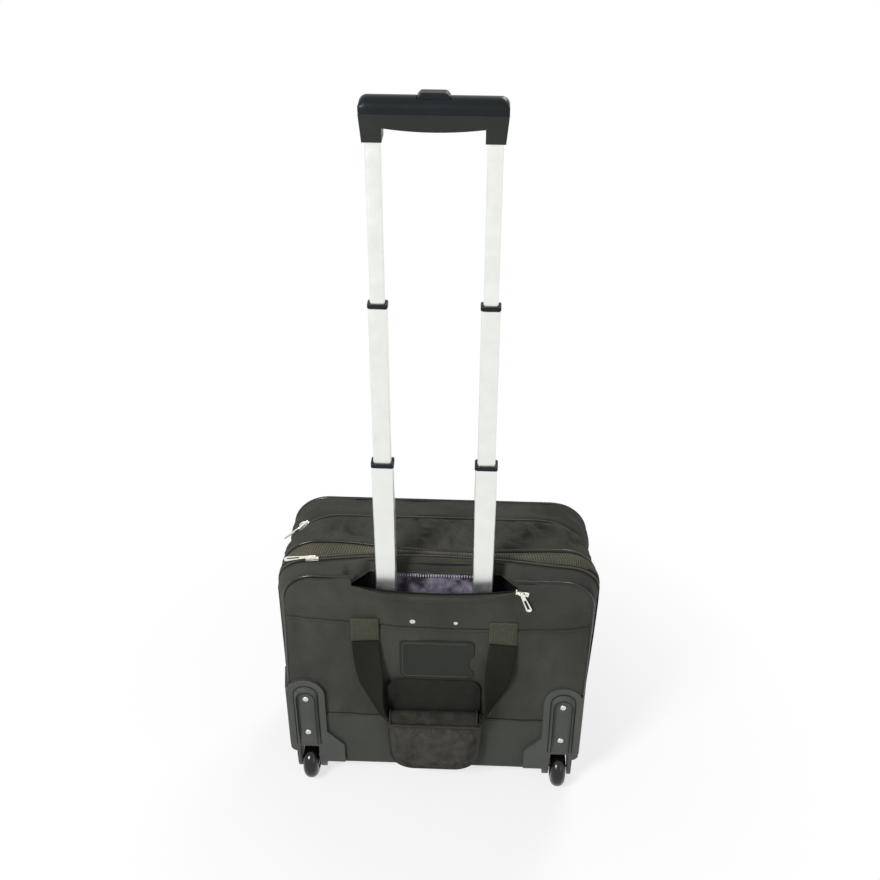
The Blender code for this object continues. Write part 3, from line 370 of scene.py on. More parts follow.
def grained(name, colour, grain=900.0, depth=0.00022, rough=(0.42, 0.58), specular=0.08):
    """Vinyl or moulded plastic: pebbled grain, patches of wear and a satin surface."""
    graph = Graph(name)
    cells = graph.add("ShaderNodeTexVoronoi", {"feature": "SMOOTH_F1"}, Vector=graph.place(), Scale=grain)
    broad = graph.noise(graph.place(), 17.0, 5.0)
    scuff = graph.noise(graph.place((1.0, 1.0, 5.0)), 90.0, 4.0)
    shade = graph.spread(broad, 0.36, 0.64, 0.92, 1.08)
    shade = graph.times(shade, graph.spread(scuff, 0.55, 0.8, 1.0, 1.12))
    normal = graph.bump(cells.outputs["Distance"], depth, 0.6)
    roughness = graph.spread(graph.math("ADD", broad, scuff), 0.7, 1.3, *rough)
    return graph.surface(colour, shade, roughness, Normal=normal, Specular_IOR_Level=specular)


def metal(name, colour, rough=(0.2, 0.34), brush=(900.0, 900.0, 6.0)):
    """Metal with fine lines along one direction and faint handling marks."""
    graph = Graph(name)
    lines = graph.noise(graph.place(brush), 1.0, 2.0)
    marks = graph.noise(graph.place(), 60.0, 4.0)
    shade = graph.spread(marks, 0.3, 0.7, 0.95, 1.0)
    roughness = graph.spread(graph.math("ADD", lines, marks), 0.7, 1.3, *rough)
    normal = graph.bump(lines, 0.00002, 0.5)
    return graph.surface(colour, shade, roughness, Normal=normal, Metallic=1.0)


def thread(name, colour):
    """Twisted sewing thread."""
    graph = Graph(name)
    twist = graph.noise(graph.place(), 2600.0, 1.0)
    shade = graph.spread(twist, 0.3, 0.7, 0.8, 1.15)
    roughness = graph.spread(twist, 0.3, 0.7, 0.45, 0.65)
    return graph.surface(colour, shade, roughness, Specular_IOR_Level=0.15)


def suede(name, colour, painted_nap_sheen=0.30):
    """Brushed padded cloth: a short nap painted lighter and darker in patches for its sheen and the shade in
    its creases.
    """
    graph = Graph(name)
    nap = graph.noise(graph.place(), 55.0, 6.0, 0.65)
    fibre = graph.noise(graph.place((1.0, 1.0, 0.4)), 1500.0, 2.0)
    # Painted sheen and shade in patches over the nap
    shade = graph.spread(nap, 0.36, 0.64, 1.0 - painted_nap_sheen, 1.0 + painted_nap_sheen)
    shade = graph.times(shade, graph.spread(fibre, 0.3, 0.7, 0.88, 1.12))
    normal = graph.bump(fibre, 0.0003, 0.6, graph.bump(nap, 0.0012, 0.5))
    roughness = graph.spread(nap, 0.3, 0.7, 0.78, 0.92)
    return graph.surface(colour, shade, roughness, Normal=normal, Specular_IOR_Level=CLOTH_SPECULAR)


def satin(name, colour, low=0.85, high=1.15):
    """Lining cloth with a soft lustre, fine threads, and broad patches painted lighter and darker for the
    sheen and shade of its crumples.
    """
    graph = Graph(name)
    weave = weave_height(graph, 0.0005, 0.0008)
    broad = graph.noise(graph.place(), 35.0, 3.0)
    # Painted sheen and shade: low and high say how dark and how light the patches are painted
    shade = graph.spread(broad, 0.38, 0.62, low, high)
    normal = graph.bump(weave, 0.00006, 0.5)
    roughness = graph.spread(broad, 0.3, 0.7, 0.3, 0.45)
    return graph.surface(colour, shade, roughness, Normal=normal, Sheen_Weight=0.1, Sheen_Roughness=0.3,
                         Specular_IOR_Level=0.25)


# Every finish: a slot name, and its material with its colour on a screen
FINISHES = {
    "nylon": ("fabric", woven("nylon", (67, 68, 62), painted_shade=0.17, crumple=0.007)),
    # The top bands' copy of the same nylon, painted a level darker as painted shade on the top, and crumpled
    # harder
    "nylon_shaded": ("fabric", woven("nylon_shaded", (66, 67, 61), painted_shade=0.17, crumple=0.014)),
    "ribbed": ("fabric", ribbed("ribbed", (88, 86, 75))),
    "binding": ("webbing", woven("binding", (64, 63, 57), (0.0014, 0.0011), 0.0003)),
    "vinyl": ("vinyl", grained("vinyl", (64, 67, 61))),
    "card_vinyl": ("vinyl", grained("card_vinyl", (46, 48, 44), 1400.0, 0.0001, (0.4, 0.55))),
    "piping": ("piping", grained("piping_vinyl", (24, 25, 22), 1500.0, 0.00008, (0.2, 0.32), 0.4)),
    # The slot's satin is painted from very dark to very light, standing in for the shade and reflections in
    # its folds
    "satin": ("lining", satin("satin", (112, 106, 120), 0.22, 2.00)),
    # The pocket board's lining is painted near black as painted shade inside the ends of the trolley slot
    "pocket": ("lining", satin("pocket_lining_shade", (30, 29, 33))),
    "inner": ("lining", satin("inner_lining", (84, 84, 88))),
    # The same strap cloth as webbing_dark, painted much lighter for the anchors' folds as painted light on
    # the fold's top
    "webbing": ("webbing", woven("webbing", (76, 77, 66), STRAP_WEAVE, 0.0005, (0.6, 0.78), 0.12)),
    "webbing_dark": ("webbing", woven("webbing_dark", (39, 40, 33), STRAP_WEAVE, 0.0005, (0.62, 0.8), 0.20,
                                      0.004)),
    "wrap": ("wrap", suede("wrap_cloth", (64, 62, 57))),
    # The wrap's own cloth, painted darker as painted shade on its roll
    "wrap_shaded": ("wrap", suede("wrap_shaded", (52, 50, 45))),
    # The back flap is darker partly as the wrap's lining side and partly as painted shade for the shadow
    # behind the handle
    "wrap_dark": ("wrap", suede("wrap_back_lining_shade", (40, 40, 37), 0.10)),
    "thread": ("piping", thread("thread", (30, 31, 29))),
    "thread_pale": ("webbing", thread("thread_pale", (86, 85, 76))),
    "zip_tape": ("fabric", woven("zip_tape", (44, 44, 41), (0.0009, 0.0013), 0.0003, (0.65, 0.8), 0.06)),
    "zip_teeth": ("dark_plastic", grained("zip_teeth", (74, 70, 62), 2600.0, 0.00005, (0.3, 0.45), 0.5)),
    "zip_pale": ("grey_plastic", grained("zip_pale", (170, 166, 176), 2600.0, 0.00005, (0.25, 0.4), 0.55)),
    "aluminium": ("aluminium", metal("aluminium", (236, 238, 233), (0.3, 0.42))),
    "steel": ("steel", metal("steel", (214, 214, 206), (0.16, 0.3), (300.0, 300.0, 300.0))),
    "zip_metal": ("zip_metal", metal("zip_metal", (238, 236, 226), (0.12, 0.26), (400.0, 400.0, 400.0))),
    "dark_plastic": ("dark_plastic", grained("dark_plastic", (24, 29, 31), 2200.0, 8e-5, (0.26, 0.38), 0.14)),
    "grey_plastic": ("grey_plastic", grained("grey_plastic", (42, 45, 42), 1700.0, 1e-4, (0.34, 0.46), 0.12)),
    "housing": ("housing_plastic", grained("housing_plastic", (72, 75, 70), 1500.0, 1e-4, (0.3, 0.42), 0.18)),
    "rubber": ("rubber", grained("rubber", (10, 11, 10), 800.0, 0.00003, (0.08, 0.18), 0.45)),
}


def smooth(share):
    """A share eased from 0 to 1."""
    share = np.clip(share, 0.0, 1.0)
    return share * share * (3 - 2 * share)


def ripples(a, b, scale_a, scale_b, seed, octaves=2):
    """Smooth noise from about -1 to 1 over two arrays of metres; the scales are waves per metre."""
    def value(p, q):
        return noise.fractal(Vector((p, q, seed)), 0.9, 2.0, octaves)

    return np.frompyfunc(value, 2, 1)(a * scale_a, b * scale_b).astype(float)


def wavy(a, b, layers):
    """Layers of ripples, each with its height."""
    return sum(height * ripples(a, b, *rest) for height, *rest in layers)


def creased(a, b, layer):
    """Round folds of a height, up and down, with sharp creases between them."""
    height, *rest = layer
    return height * (1 - 2 * np.abs(ripples(a, b, *rest)))


def unit(vectors):
    return vectors / np.maximum(np.linalg.norm(vectors, axis=-1, keepdims=True), 1e-12)


def coords(*parts):
    """Points from their coordinates, each of them an array or one value."""
    return np.stack(np.broadcast_arrays(*parts), -1)


def run_along(points):
    """Metres from the first of a line of points to each of them."""
    return np.concatenate([[0], np.cumsum(np.linalg.norm(np.diff(points, axis=0), axis=-1))])


def grid_normals(points):
    """Directions square to a grid of points."""
    return unit(np.cross(np.gradient(points, axis=0), np.gradient(points, axis=1)))


def grid_faces(rows, columns, closed=False, start=0):
    """Quads over a grid of vertex numbers; closed joins the last column to the first."""
    index = np.arange(rows * columns).reshape(rows, columns) + start
    if closed:
        index = np.concatenate([index, index[:, :1]], axis=1)
    corners = (index[:-1, :-1], index[:-1, 1:], index[1:, 1:], index[1:, :-1])
    return np.stack(corners, -1).reshape(-1, 4).tolist()


def two_sided(rows, columns):
    """Quads of two grids, one behind the other: the front, the back and the border between them."""
    count = rows * columns
    back = [face[::-1] for face in grid_faces(rows, columns, start=count)]
    index = np.arange(count).reshape(rows, columns)
    border = np.concatenate([index[0, :-1], index[:-1, -1], index[-1, :0:-1], index[:0:-1, 0]])
    after = np.roll(border, -1)
    return grid_faces(rows, columns), back, coords(border, after, after + count, border + count).tolist()


def place(piece, body, nodes=()):
    """Lets a piece ride on a body, or leaves it in place where it lies between two, and hides the nodes it
    stands in for.
    """
    if body in BENDS:
        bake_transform(piece)
    else:
        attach(piece, body)
    if nodes:
        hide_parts(*nodes)
    return piece


def linked(name, data):
    """A new object in the scene."""
    thing = bpy.data.objects.new(name, data)
    bpy.context.scene.collection.objects.link(thing)
    return thing


def mesh_object(name, points, faces, finishes, face_finish=None, uv=None, sharp=None):
    """A smooth mesh with its materials, its cloth coordinates and outward faces."""
    mesh = bpy.data.meshes.new(name)
    mesh.from_pydata(np.asarray(points, float).reshape(-1, 3).tolist(), [], faces)
    for finish in finishes:
        mesh.materials.append(FINISHES[finish][1])
    if face_finish is not None:
        mesh.polygons.foreach_set("material_index", face_finish)
    if uv is not None:
        layer = mesh.uv_layers.new(name="cloth")
        corners = np.zeros(len(mesh.loops), int)
        mesh.loops.foreach_get("vertex_index", corners)
        layer.uv.foreach_set("vector", np.asarray(uv, np.float32).reshape(-1, 2)[corners].ravel())
    bm = bmesh.new()
    bm.from_mesh(mesh)
    bmesh.ops.recalc_face_normals(bm, faces=bm.faces[:])
    bm.to_mesh(mesh)
    bm.free()
    mesh.shade_smooth()
    if sharp is not None:
        mesh.set_sharp_from_angle(angle=math.radians(sharp))
    return linked(name, mesh)


def slab(name, outer, inner, finish, lining, body, nodes=()):
    """A cloth panel with its lining: two grids of points, closed round the border."""
    front, back, rim = two_sided(*outer.shape[:2])
    faces = front + back + rim
    which = [0] * len(front) + [1] * len(back) + [0] * len(rim)
    points = np.stack([outer, inner])
    uv = np.stack([grid_lengths(outer)] * 2)
    piece = mesh_object(name, points, faces, (finish, lining), which, uv, 60)
    return place(piece, body, nodes)


def grid_lengths(points):
    """Metres along the rows and the columns of a grid of points, from its middle lines."""
    rows, columns = points.shape[:2]
    down, along = points[:, columns // 2], points[rows // 2]
    return np.stack(np.meshgrid(run_along(down), run_along(along), indexing="ij"), -1)


def even_path(path, out, step):
    """Points at even steps along a line of points, with the outward direction at each."""
    path = np.asarray(path, float)
    out = np.broadcast_to(np.asarray(out, float), path.shape)
    run = run_along(path)
    at = np.linspace(0, run[-1], max(2, int(round(run[-1] / step)) + 1))
    points = np.stack([np.interp(at, run, path[:, k]) for k in range(3)], -1)
    return points, unit(np.stack([np.interp(at, run, out[:, k]) for k in range(3)], -1))


def frames(path, out):
    """Along, across and outward directions at each point of a path; out is about where outward is."""
    along = unit(np.gradient(path, axis=0))
    out = np.broadcast_to(np.asarray(out, float), path.shape)
    across = unit(np.cross(along, out))
    return along, across, np.cross(across, along)


def sweep(name, path, out, profile, finish, closed=False):
    """A profile of (across, outward) points drawn along a path; profile may differ at each point."""
    path = np.asarray(path, float)
    _, across, outward = frames(path, out)
    profile = np.asarray(profile, float)
    if profile.ndim == 2:
        profile = np.broadcast_to(profile, (len(path), *profile.shape))
    points = path[:, None] + across[:, None] * profile[..., :1] + outward[:, None] * profile[..., 1:]
    rows, columns = points.shape[:2]
    if closed:
        points = np.concatenate([points, points[:1]])
        rows += 1
    faces = grid_faces(rows, columns, True)
    if not closed:
        faces += [list(range(columns))[::-1], list(range((rows - 1) * columns, rows * columns))]
    uv = np.stack(np.meshgrid(run_along(profile[0]), run_along(points[:, 0])), -1)
    return mesh_object(name, points, faces, (finish,), uv=uv, sharp=50)


def laid(name, path, out, profile, finish, body, nodes=(), closed=False):
    """A swept piece on its body."""
    return place(sweep(name, path, out, profile, finish, closed), body, nodes)


def full_turn(steps):
    return np.linspace(0, 2 * np.pi, steps, endpoint=False)


def arc(centre, radius, turn, flat=1.0):
    """Points (a, b) round a centre at the angles of turn."""
    return np.array(centre) + coords(radius * np.cos(turn), radius * flat * np.sin(turn))


def ring_profile(radius, steps=10, flat=1.0):
    return arc((0, 0), radius, full_turn(steps), flat)


def tape_profile(half, thick, steps=4):
    """A flat tape with rounded edges, about the middle of its thickness."""
    turn = np.linspace(-np.pi / 2, np.pi / 2, steps)
    edge = 0.7 * thick / 2
    right = coords(half - edge + edge * np.cos(turn), thick / 2 * np.sin(turn))
    inner = np.linspace(half * 0.75, -half * 0.75, 7)
    top = coords(inner, thick / 2)
    return np.concatenate([right, top, -right, -top])


def spindles(name, origins, bases, finish, body):
    """Many small spindles as one piece; bases hold three directions for each of them."""
    points = origins[:, None] + np.einsum("pk,nkj->npj", np.array(SPINDLE, float), bases)
    faces = [[v + i * len(SPINDLE) for v in face] for i in range(len(points)) for face in SPINDLE_FACES]
    return place(mesh_object(name, points, faces, (finish,)), body)


def stitches(name, rows, finish, body, pitch=STITCH_PITCH):
    """Rows of raised stitches: (path, outward) pairs, outward being one direction or one for each point."""
    origins, bases = [], []
    for path, out in rows:
        path, out = even_path(path, out, pitch)
        along, across, outward = frames(path, out)
        origins.append(path)
        bases.append(np.stack([along * STITCH[0], across * STITCH[1], outward * STITCH[2]], 1))
    return spindles(name, np.concatenate(origins), np.concatenate(bases), finish, body)


def softened(node, finish, width, segments=3):
    """A copy of a hard CAD piece with its edges rounded, in place of it."""
    source = frame["nodes"][node]
    mesh = source.data.copy()
    bm = bmesh.new()
    bm.from_mesh(mesh)
    bmesh.ops.remove_doubles(bm, verts=bm.verts[:], dist=1e-6)
    bmesh.ops.dissolve_limit(bm, angle_limit=math.radians(FLAT), verts=bm.verts[:], edges=bm.edges[:])
    bm.to_mesh(mesh)
    bm.free()
    mesh.shade_smooth()
    mesh.materials.clear()
    mesh.materials.append(FINISHES[finish][1])
    piece = linked(f"{node}_skin", mesh)
    bevel = piece.modifiers.new("edges", "BEVEL")
    bevel.width = width
    bevel.segments = segments
    bevel.limit_method = "ANGLE"
    bevel.angle_limit = math.radians(CREASE)
    normals = piece.modifiers.new("normals", "WEIGHTED_NORMAL")
    normals.keep_sharp = True
    apply_modifiers(piece)
    return place(piece, source["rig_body"], (node,))


def apply_modifiers(piece):
    """Makes a piece's modified mesh its own mesh."""
    shown = piece.evaluated_get(bpy.context.evaluated_depsgraph_get())
    mesh = bpy.data.meshes.new_from_object(shown)
    piece.modifiers.clear()
    piece.data = mesh


def arch_outline(half, top, corner, low):
    """Points (x, z) over the arch from the left foot to the right foot, the same count at every depth."""
    side = np.linspace(low, top - corner, SIDE_STEPS, endpoint=False)
    turn = np.linspace(0, np.pi / 2, CORNER_STEPS, endpoint=False)
    left = coords(-half, side)
    bend = coords(corner - half - corner * np.cos(turn), top - corner + corner * np.sin(turn))
    across = np.linspace(corner - half, half - corner, TOP_STEPS)
    over = coords(across, top)
    rise = np.concatenate([left, bend])
    return np.concatenate([rise, over, rise[::-1] * (-1, 1)])


def outline_at(depth):
    sizes = (np.interp(depth, STATIONS[:, 0], STATIONS[:, k]) for k in (1, 2, 3))
    return arch_outline(*sizes, SHELL_LOW)


def bell(at, centre, width):
    return np.exp(-(((at - centre) / width) ** 2))


def stuffed(x, z, depth):
    """Where a full case carries its cloth across: the rear face leans right, and the right side swells."""
    rise = smooth((z - 0.08) / 0.28)
    edge = smooth((np.abs(x) - 0.10) / 0.09)
    lean = np.where(x < 0, LEAN_LEFT, LEAN_RIGHT) * (1 - smooth(depth / 0.032))
    swell = SIDE_SWELL * (x > 0) * bell(depth, 0.046, 0.034)
    return x + rise * edge * (lean + swell)


def slack_top(x, z, depth):
    """Where it carries its cloth upwards: the top sags along the middle piping."""
    return z - TOP_SAG * bell(x, 0.03, 0.10) * bell(depth, 0.066, 0.018) * (z > TOP_FROM)


def full_outline(depth):
    x, z = outline_at(depth).T
    return coords(stuffed(x, z, depth), slack_top(x, z, depth))


ARCH_TABLE = np.array([full_outline(depth) for depth in TABLE_DEPTHS])
ARCH_COUNT = ARCH_TABLE.shape[1]
ARCH_X, ARCH_Z = ARCH_TABLE[len(TABLE_DEPTHS) // 2].T
ARCH_RUN = run_along(ARCH_TABLE[len(TABLE_DEPTHS) // 2])
ON_TOP = smooth((ARCH_Z - 0.33) / 0.05)


def arch_grid(depths):
    """Points on the skin of the case: a row for each step over the arch, a column for each depth."""
    depths = np.broadcast_to(depths, (ARCH_COUNT, np.shape(depths)[-1]))
    at = depths / CASE_DEPTH * (len(TABLE_DEPTHS) - 1)
    low = np.clip(at.astype(int), 0, len(TABLE_DEPTHS) - 2)
    share = (at - low)[..., None]
    rows = np.arange(ARCH_COUNT)[:, None]
    xz = ARCH_TABLE[low, rows] * (1 - share) + ARCH_TABLE[low + 1, rows] * share
    return coords(xz[..., 0], REAR_Y + depths, xz[..., 1])


def outward_normals(points):
    normals = grid_normals(points)
    middle = np.array([0, (REAR_Y + FRONT_Y) / 2, 0.2])
    sign = np.sign(((points - middle) * normals).sum(-1).mean())
    return normals * sign


def spread_depths(near, far, steps):
    """Depths between two edges, each a number or one value for each step over the arch."""
    near = np.broadcast_to(near, (ARCH_COUNT,))[:, None]
    far = np.broadcast_to(far, (ARCH_COUNT,))[:, None]
    return near + (far - near) * np.linspace(0, 1, steps)


def band_piece(name, near, far, steps, heights, finish, body, nodes=()):
    """A cloth band over the arch; heights(run, depths, share) says how far the cloth stands off the skin."""
    depths = spread_depths(near, far, steps)
    points = arch_grid(depths)
    normals = outward_normals(points)
    share = np.linspace(0, 1, steps)[None]
    raised = heights(ARCH_RUN[:, None], depths, share)
    outer = points + normals * raised[..., None]
    inner = points + normals * (np.minimum(raised, 0.0005) - CLOTH)[..., None]
    slab(name, outer, inner, finish, "inner", body, nodes)
    return outer, normals


def pressed(folds, share):
    """Folds that keep only a share of their outward height."""
    return np.where(folds > 0, share * folds, folds)


def puff(share, power=0.5):
    """How full a band is across its width: nothing at its sewn edges, full between them."""
    return np.sin(np.pi * np.clip(share, 0, 1)) ** power


def middle_line():
    """Depth of the middle piping over the arch; it wanders across the top where the case is slack."""
    wander = 0.0060 * bell(ARCH_X, -0.125, 0.060) - 0.0045 * bell(ARCH_X, 0.0, 0.075)
    return MIDDLE_D + wander * ON_TOP


def rear_line():
    """Depth of the rear zip over the arch; the slot pushes it forward across the middle of the top."""
    push = SLOT_PUSH * bell(ARCH_X, 0.0, 0.095) - CORNER_PULL * bell(np.abs(ARCH_X), 0.160, 0.045)
    return REAR_ZIP_D + push * ON_TOP


def over_slot(ease=0.030):
    """1 over the trolley slot, falling to 0 at its ends."""
    share = np.clip((SLOT_HALF - np.abs(ARCH_X)) / ease, 0, 1)
    return share**1.4 * (ARCH_Z > TOP_FROM)


def slot_edge():
    """Depth where the rear band starts: behind the trolley slot it is cut back in an eye shape."""
    return BAND_START + SLOT_CUT * over_slot()


def rear_band_heights(run, depths, share):
    """The band beside the slot swells a little, and rolls down into the slot where it is cut back."""
    roll = 0.0018 * puff(share) * (1 + 0.5 * ON_TOP + 1.2 * over_slot())[:, None]
    folds = wavy(run, depths, REAR_BAND_WAVES)
    return roll + folds * puff(share, 0.8) - SLOT_ROLL * over_slot(0.005)[:, None] * (1 - share) ** 1.6


def gathered_heights(run, depths, share):
    """Ribbed cloth that swells between the rear zip and the middle piping."""
    folds = wavy(run, depths, GATHERED_WAVES)
    return (0.0024 * puff(share) + folds) * puff(share, 0.6)


def belly_heights(run, depths, share):
    """Slack cloth between the middle piping and the front zip: puckers with sharp creases between them."""
    top = ON_TOP[:, None]
    pucker = creased(run, depths, BELLY_PUCKER)
    drag = creased(run + 1.6 * depths, depths - 0.4 * run, BELLY_DRAG)
    sag = -0.0035 * top * puff(share, 1.5) * bell(ARCH_X, 0.0, 0.16)[:, None]
    between = 1 + 0.5 * bell(ARCH_X, 0.0, 0.07)[:, None]
    folds = between * (pucker + drag) + wavy(run, depths, BELLY_WAVES)
    calm = 1 - 0.85 * smooth((-ARCH_X - 0.13) / 0.04)[:, None] * smooth((share - 0.3) / 0.4)
    return sag + (0.0028 + pressed(folds, 0.8) * calm) * puff(share, 0.75) * (0.32 + 0.68 * top)


def lid_band_heights(run, depths, share):
    """The lid's own band: broad folds, and drag lines at the corners."""
    corner = smooth((np.abs(ARCH_X) - 0.13) / 0.04)[:, None]
    folds = wavy(run, depths, LID_BAND_WAVES)
    drag = creased(run + 0.8 * depths, depths - 0.6 * run, LID_BAND_DRAG)
    folds = folds + (0.0020 + 0.0034 * corner) * drag
    return (0.0018 + pressed(folds, 0.5)) * puff(share, 0.7)


def gussets():
    """The bands of cloth that wrap the case between its pipings and zips."""
    middle = middle_line()
    rear = band_piece("rear_band", slot_edge(), rear_line() - ZIP_HALF, 18, rear_band_heights, "nylon_shaded",
                      "case_base", ("rear_gusset",))
    gathered = band_piece("gathered_band", rear_line() + ZIP_HALF, middle - 0.001, 16, gathered_heights,
                          "ribbed", "lean")
    belly = band_piece("belly_band", middle + 0.001, FRONT_ZIP_D - ZIP_HALF, 40, belly_heights, "nylon_shaded",
                       "lean", ("main_gusset",))
    lid = band_piece("lid_band", FRONT_ZIP_D + ZIP_HALF, CASE_DEPTH - PIPING_R, 26, lid_band_heights,
                     "nylon_shaded", "lid")
    rows = (("rear_band", rear, -3, "case_base"), ("gathered_band", gathered, 2, "lean"),
            ("belly_band", belly, -2, "lean"), ("lid_band", lid, 2, "lid"))
    for name, (outer, normals), column, body in rows:
        stitches(f"{name}_stitches", [(outer[:, column], normals[:, column])], "thread", body)
    edge = rear[0][over_slot() > 0, 0]
    laid("slot_front_hem", edge, (0, 0, 1), ring_profile(0.0015), "nylon_shaded", "case_base")


def arch_path(depth, grow, step=PATH_STEP, low=None):
    """An even line over the arch at one depth, or at one depth for each step."""
    depths = np.broadcast_to(depth, (ARCH_COUNT,))[:, None]
    column = np.concatenate([depths, depths + 1e-4], 1)
    points = arch_grid(column)
    normals = outward_normals(points)
    path = points[:, 0] + normals[:, 0] * grow
    out = normals[:, 0]
    if low is not None:
        path = np.concatenate([path[:1] * (1, 1, 0) + (0, 0, low), path, path[-1:] * (1, 1, 0) + (0, 0, low)])
        out = np.concatenate([out[:1], out, out[-1:]])
    return even_path(path, out, step)


def covered_cord(name, path, out, body, nodes):
    """Piping: a cord in a cover that is not quite even."""
    wobble = 1 + 0.05 * ripples(np.arange(len(path)) * PATH_STEP, 0.0, 30, 1, 3.9)
    laid(name, path, out, ring_profile(PIPING_R, 14) * wobble[:, None, None], "piping", body, nodes)


def pipings():
    """The cords round the rear face, over the middle and round the lid."""
    path, out = arch_path(0.0012, 0.0002, 0.003, BODY_BOTTOM + 0.03)
    for name, side in SIDES:
        keep = side * path[:, 0] > SLOT_HALF - 0.006
        covered_cord(f"rear_piping_cord_{name}", path[keep], out[keep], "case_base", ("rear_piping",))
    path, out = arch_path(middle_line(), 0.0012)
    covered_cord("middle_piping_cord", path, out, "lean", ("middle_piping",))
    path, out = arch_path(CASE_DEPTH - 2 * PIPING_R, 0.0003)
    covered_cord("front_piping_cord", path, out, "lid", ("front_piping",))


def zip_half(name, path, out, side, body, teeth="zip_teeth", shift=0.0, size=1.0):
    """One side of a zip: its tape, sunk between the cloth edges, and its teeth over the middle line."""
    path, out = even_path(path, out, TOOTH_PITCH * size)
    along, across, outward = frames(path, out)
    tape_path = path + across * side * ZIP_HALF - outward * 0.0007
    laid(f"{name}_tape", tape_path, out, tape_profile(ZIP_HALF, 0.0009), "zip_tape", body)
    origins = path + across * side * 0.0007 + along * shift * TOOTH_PITCH + outward * 0.0001
    bases = np.stack([across * TOOTH[0], along * TOOTH[1], outward * TOOTH[2]], 1) * size
    spindles(f"{name}_teeth", origins, bases, teeth, body)


def zips():
    """The zip round the rear compartment and the zip round the lid; each half stays with its own side."""
    path, out = arch_path(rear_line(), 0.0004)
    zip_half("rear_zip_near", path, out, 1, "case_base")
    zip_half("rear_zip_far", path, out, -1, "lean", shift=0.5)
    path, out = arch_path(FRONT_ZIP_D, 0.0004)
    zip_half("front_zip_near", path, out, 1, "lean")
    zip_half("front_zip_far", path, out, -1, "lid", shift=0.5)


def arch_top(x, half, top, corner):
    """Height of an arch over a place across it."""
    over = np.clip(np.abs(x) - (half - corner), 0, corner)
    return top - corner + np.sqrt(corner**2 - over**2)


def lip_height(x):
    """Height of the trolley slot's lip, which sags between its ends."""
    return LIP_END - LIP_SAG * (1 - (x / SLOT_HALF) ** 2)


def rising_rows(low, level, tops, step, upper_steps, extra=()):
    """Heights for each column: even rows up to a level, then rows squeezed under that column's own top."""
    lower = np.unique(np.round(np.concatenate([np.arange(low, level, step), extra]), 5))
    upper = level + (tops[:, None] - level) * np.linspace(0, 1, upper_steps)
    return np.concatenate([np.broadcast_to(lower, (len(tops), len(lower))), upper], 1)


def groove(z, at, wide=0.0011, deep=0.0010):
    """The dip of a seam that runs across a panel."""
    return -deep * bell(z, at, wide)


def seam_shift(x):
    """How far the cross seam lies above its height at the ends; it sags towards the middle."""
    return SEAM_SLOPE * x - SEAM_SAG * (1 - (x / PANEL_HALF) ** 2)


def rear_heights(x, z, tops):
    """How far the rear panel stands off its board: a seam, slack at the slot's lip and soft waves."""
    seam = SEAM_Z + seam_shift(x)
    free = 0.4 + 0.6 * np.maximum(smooth((np.abs(x) - 0.112) / 0.03), smooth((0.20 - z) / 0.03))
    waves = wavy(x, z, PANEL_WAVES)
    drag = creased(x + 0.5 * z, z, PANEL_DRAG)
    lip = np.where(np.abs(x) < SLOT_HALF, bell(z, tops, 0.024), 0.0)
    lip = lip * 0.0078 * (1 - (x / SLOT_HALF) ** 2)
    upper = 0.0007 * smooth((z - seam) / 0.0016)
    slack = free * (1 + 0.6 * smooth((z - 0.205) / 0.03)) * (waves + drag)
    return 0.0012 + np.maximum(slack, -0.001) + lip + upper + groove(z, seam - 0.0008, 0.0012, 0.0024)


def on_panel(x, z, tops):
    """Points on the rear panel's cloth."""
    return coords(stuffed(x, z, 0.0), REAR_Y - rear_heights(x, z, tops), z)


def rear_panel():
    """The cloth face on the trolley side, with its cross seam and the lip of the trolley slot."""
    ends = [side * (SLOT_HALF + nudge) for side in (-1, 1) for nudge in (-0.0004, 0.0004)]
    columns = np.unique(np.concatenate([np.linspace(-PANEL_HALF, PANEL_HALF, 133), ends]))
    tops = arch_top(columns, *STATIONS[0, 1:]) - 0.0012
    tops = np.where(np.abs(columns) < SLOT_HALF, lip_height(columns), tops)
    near_seam = SEAM_Z + np.linspace(-0.006, 0.006, 13)
    low, level = KICK_TOP + 0.0004, 0.3405
    heights = rising_rows(low, level, tops, 0.0042, 14, near_seam)
    weight = np.minimum((heights - low) / (SEAM_Z - low), (level - heights) / (level - SEAM_Z))
    heights = heights + np.clip(weight, 0, 1) * seam_shift(columns)[:, None]
    x = np.broadcast_to(columns[:, None], heights.shape)
    outer = on_panel(x, heights, tops[:, None])
    inner = coords(outer[..., 0], REAR_Y + CLOTH, heights)
    slab("rear_panel_cloth", outer, inner, "nylon", "satin", "case_base", ("rear_panel",))
    lip_columns = np.abs(columns) < SLOT_HALF
    hem = outer[lip_columns, -1] + (0, 0.0012, 0.0002)
    laid("slot_lip_hem", hem, (0, 0, 1), ring_profile(0.0021, 12), "nylon", "case_base")
    across, seam_z = columns[1:-1], (SEAM_Z + seam_shift(columns))[1:-1]
    rows = [on_panel(across, seam_z + offset, tops[1:-1]) for offset in (0.0030, -0.0050)]
    inside = columns[lip_columns]
    z = lip_height(inside) - 0.0062
    y = REAR_Y - rear_heights(inside, z, lip_height(inside))
    rows.append(coords(inside, y, z))
    stitches("rear_panel_stitches", [(row, REARWARD) for row in rows], "thread", "case_base")
    # A dark cord in the seam's gap, as painted shade for the dark line there
    seam = on_panel(across, seam_z - 0.0009, tops[1:-1]) - (0, 0.0002, 0)
    laid("rear_panel_seam_shade_line", seam, REARWARD, ring_profile(SEAM_R, 8), "thread", "case_base")


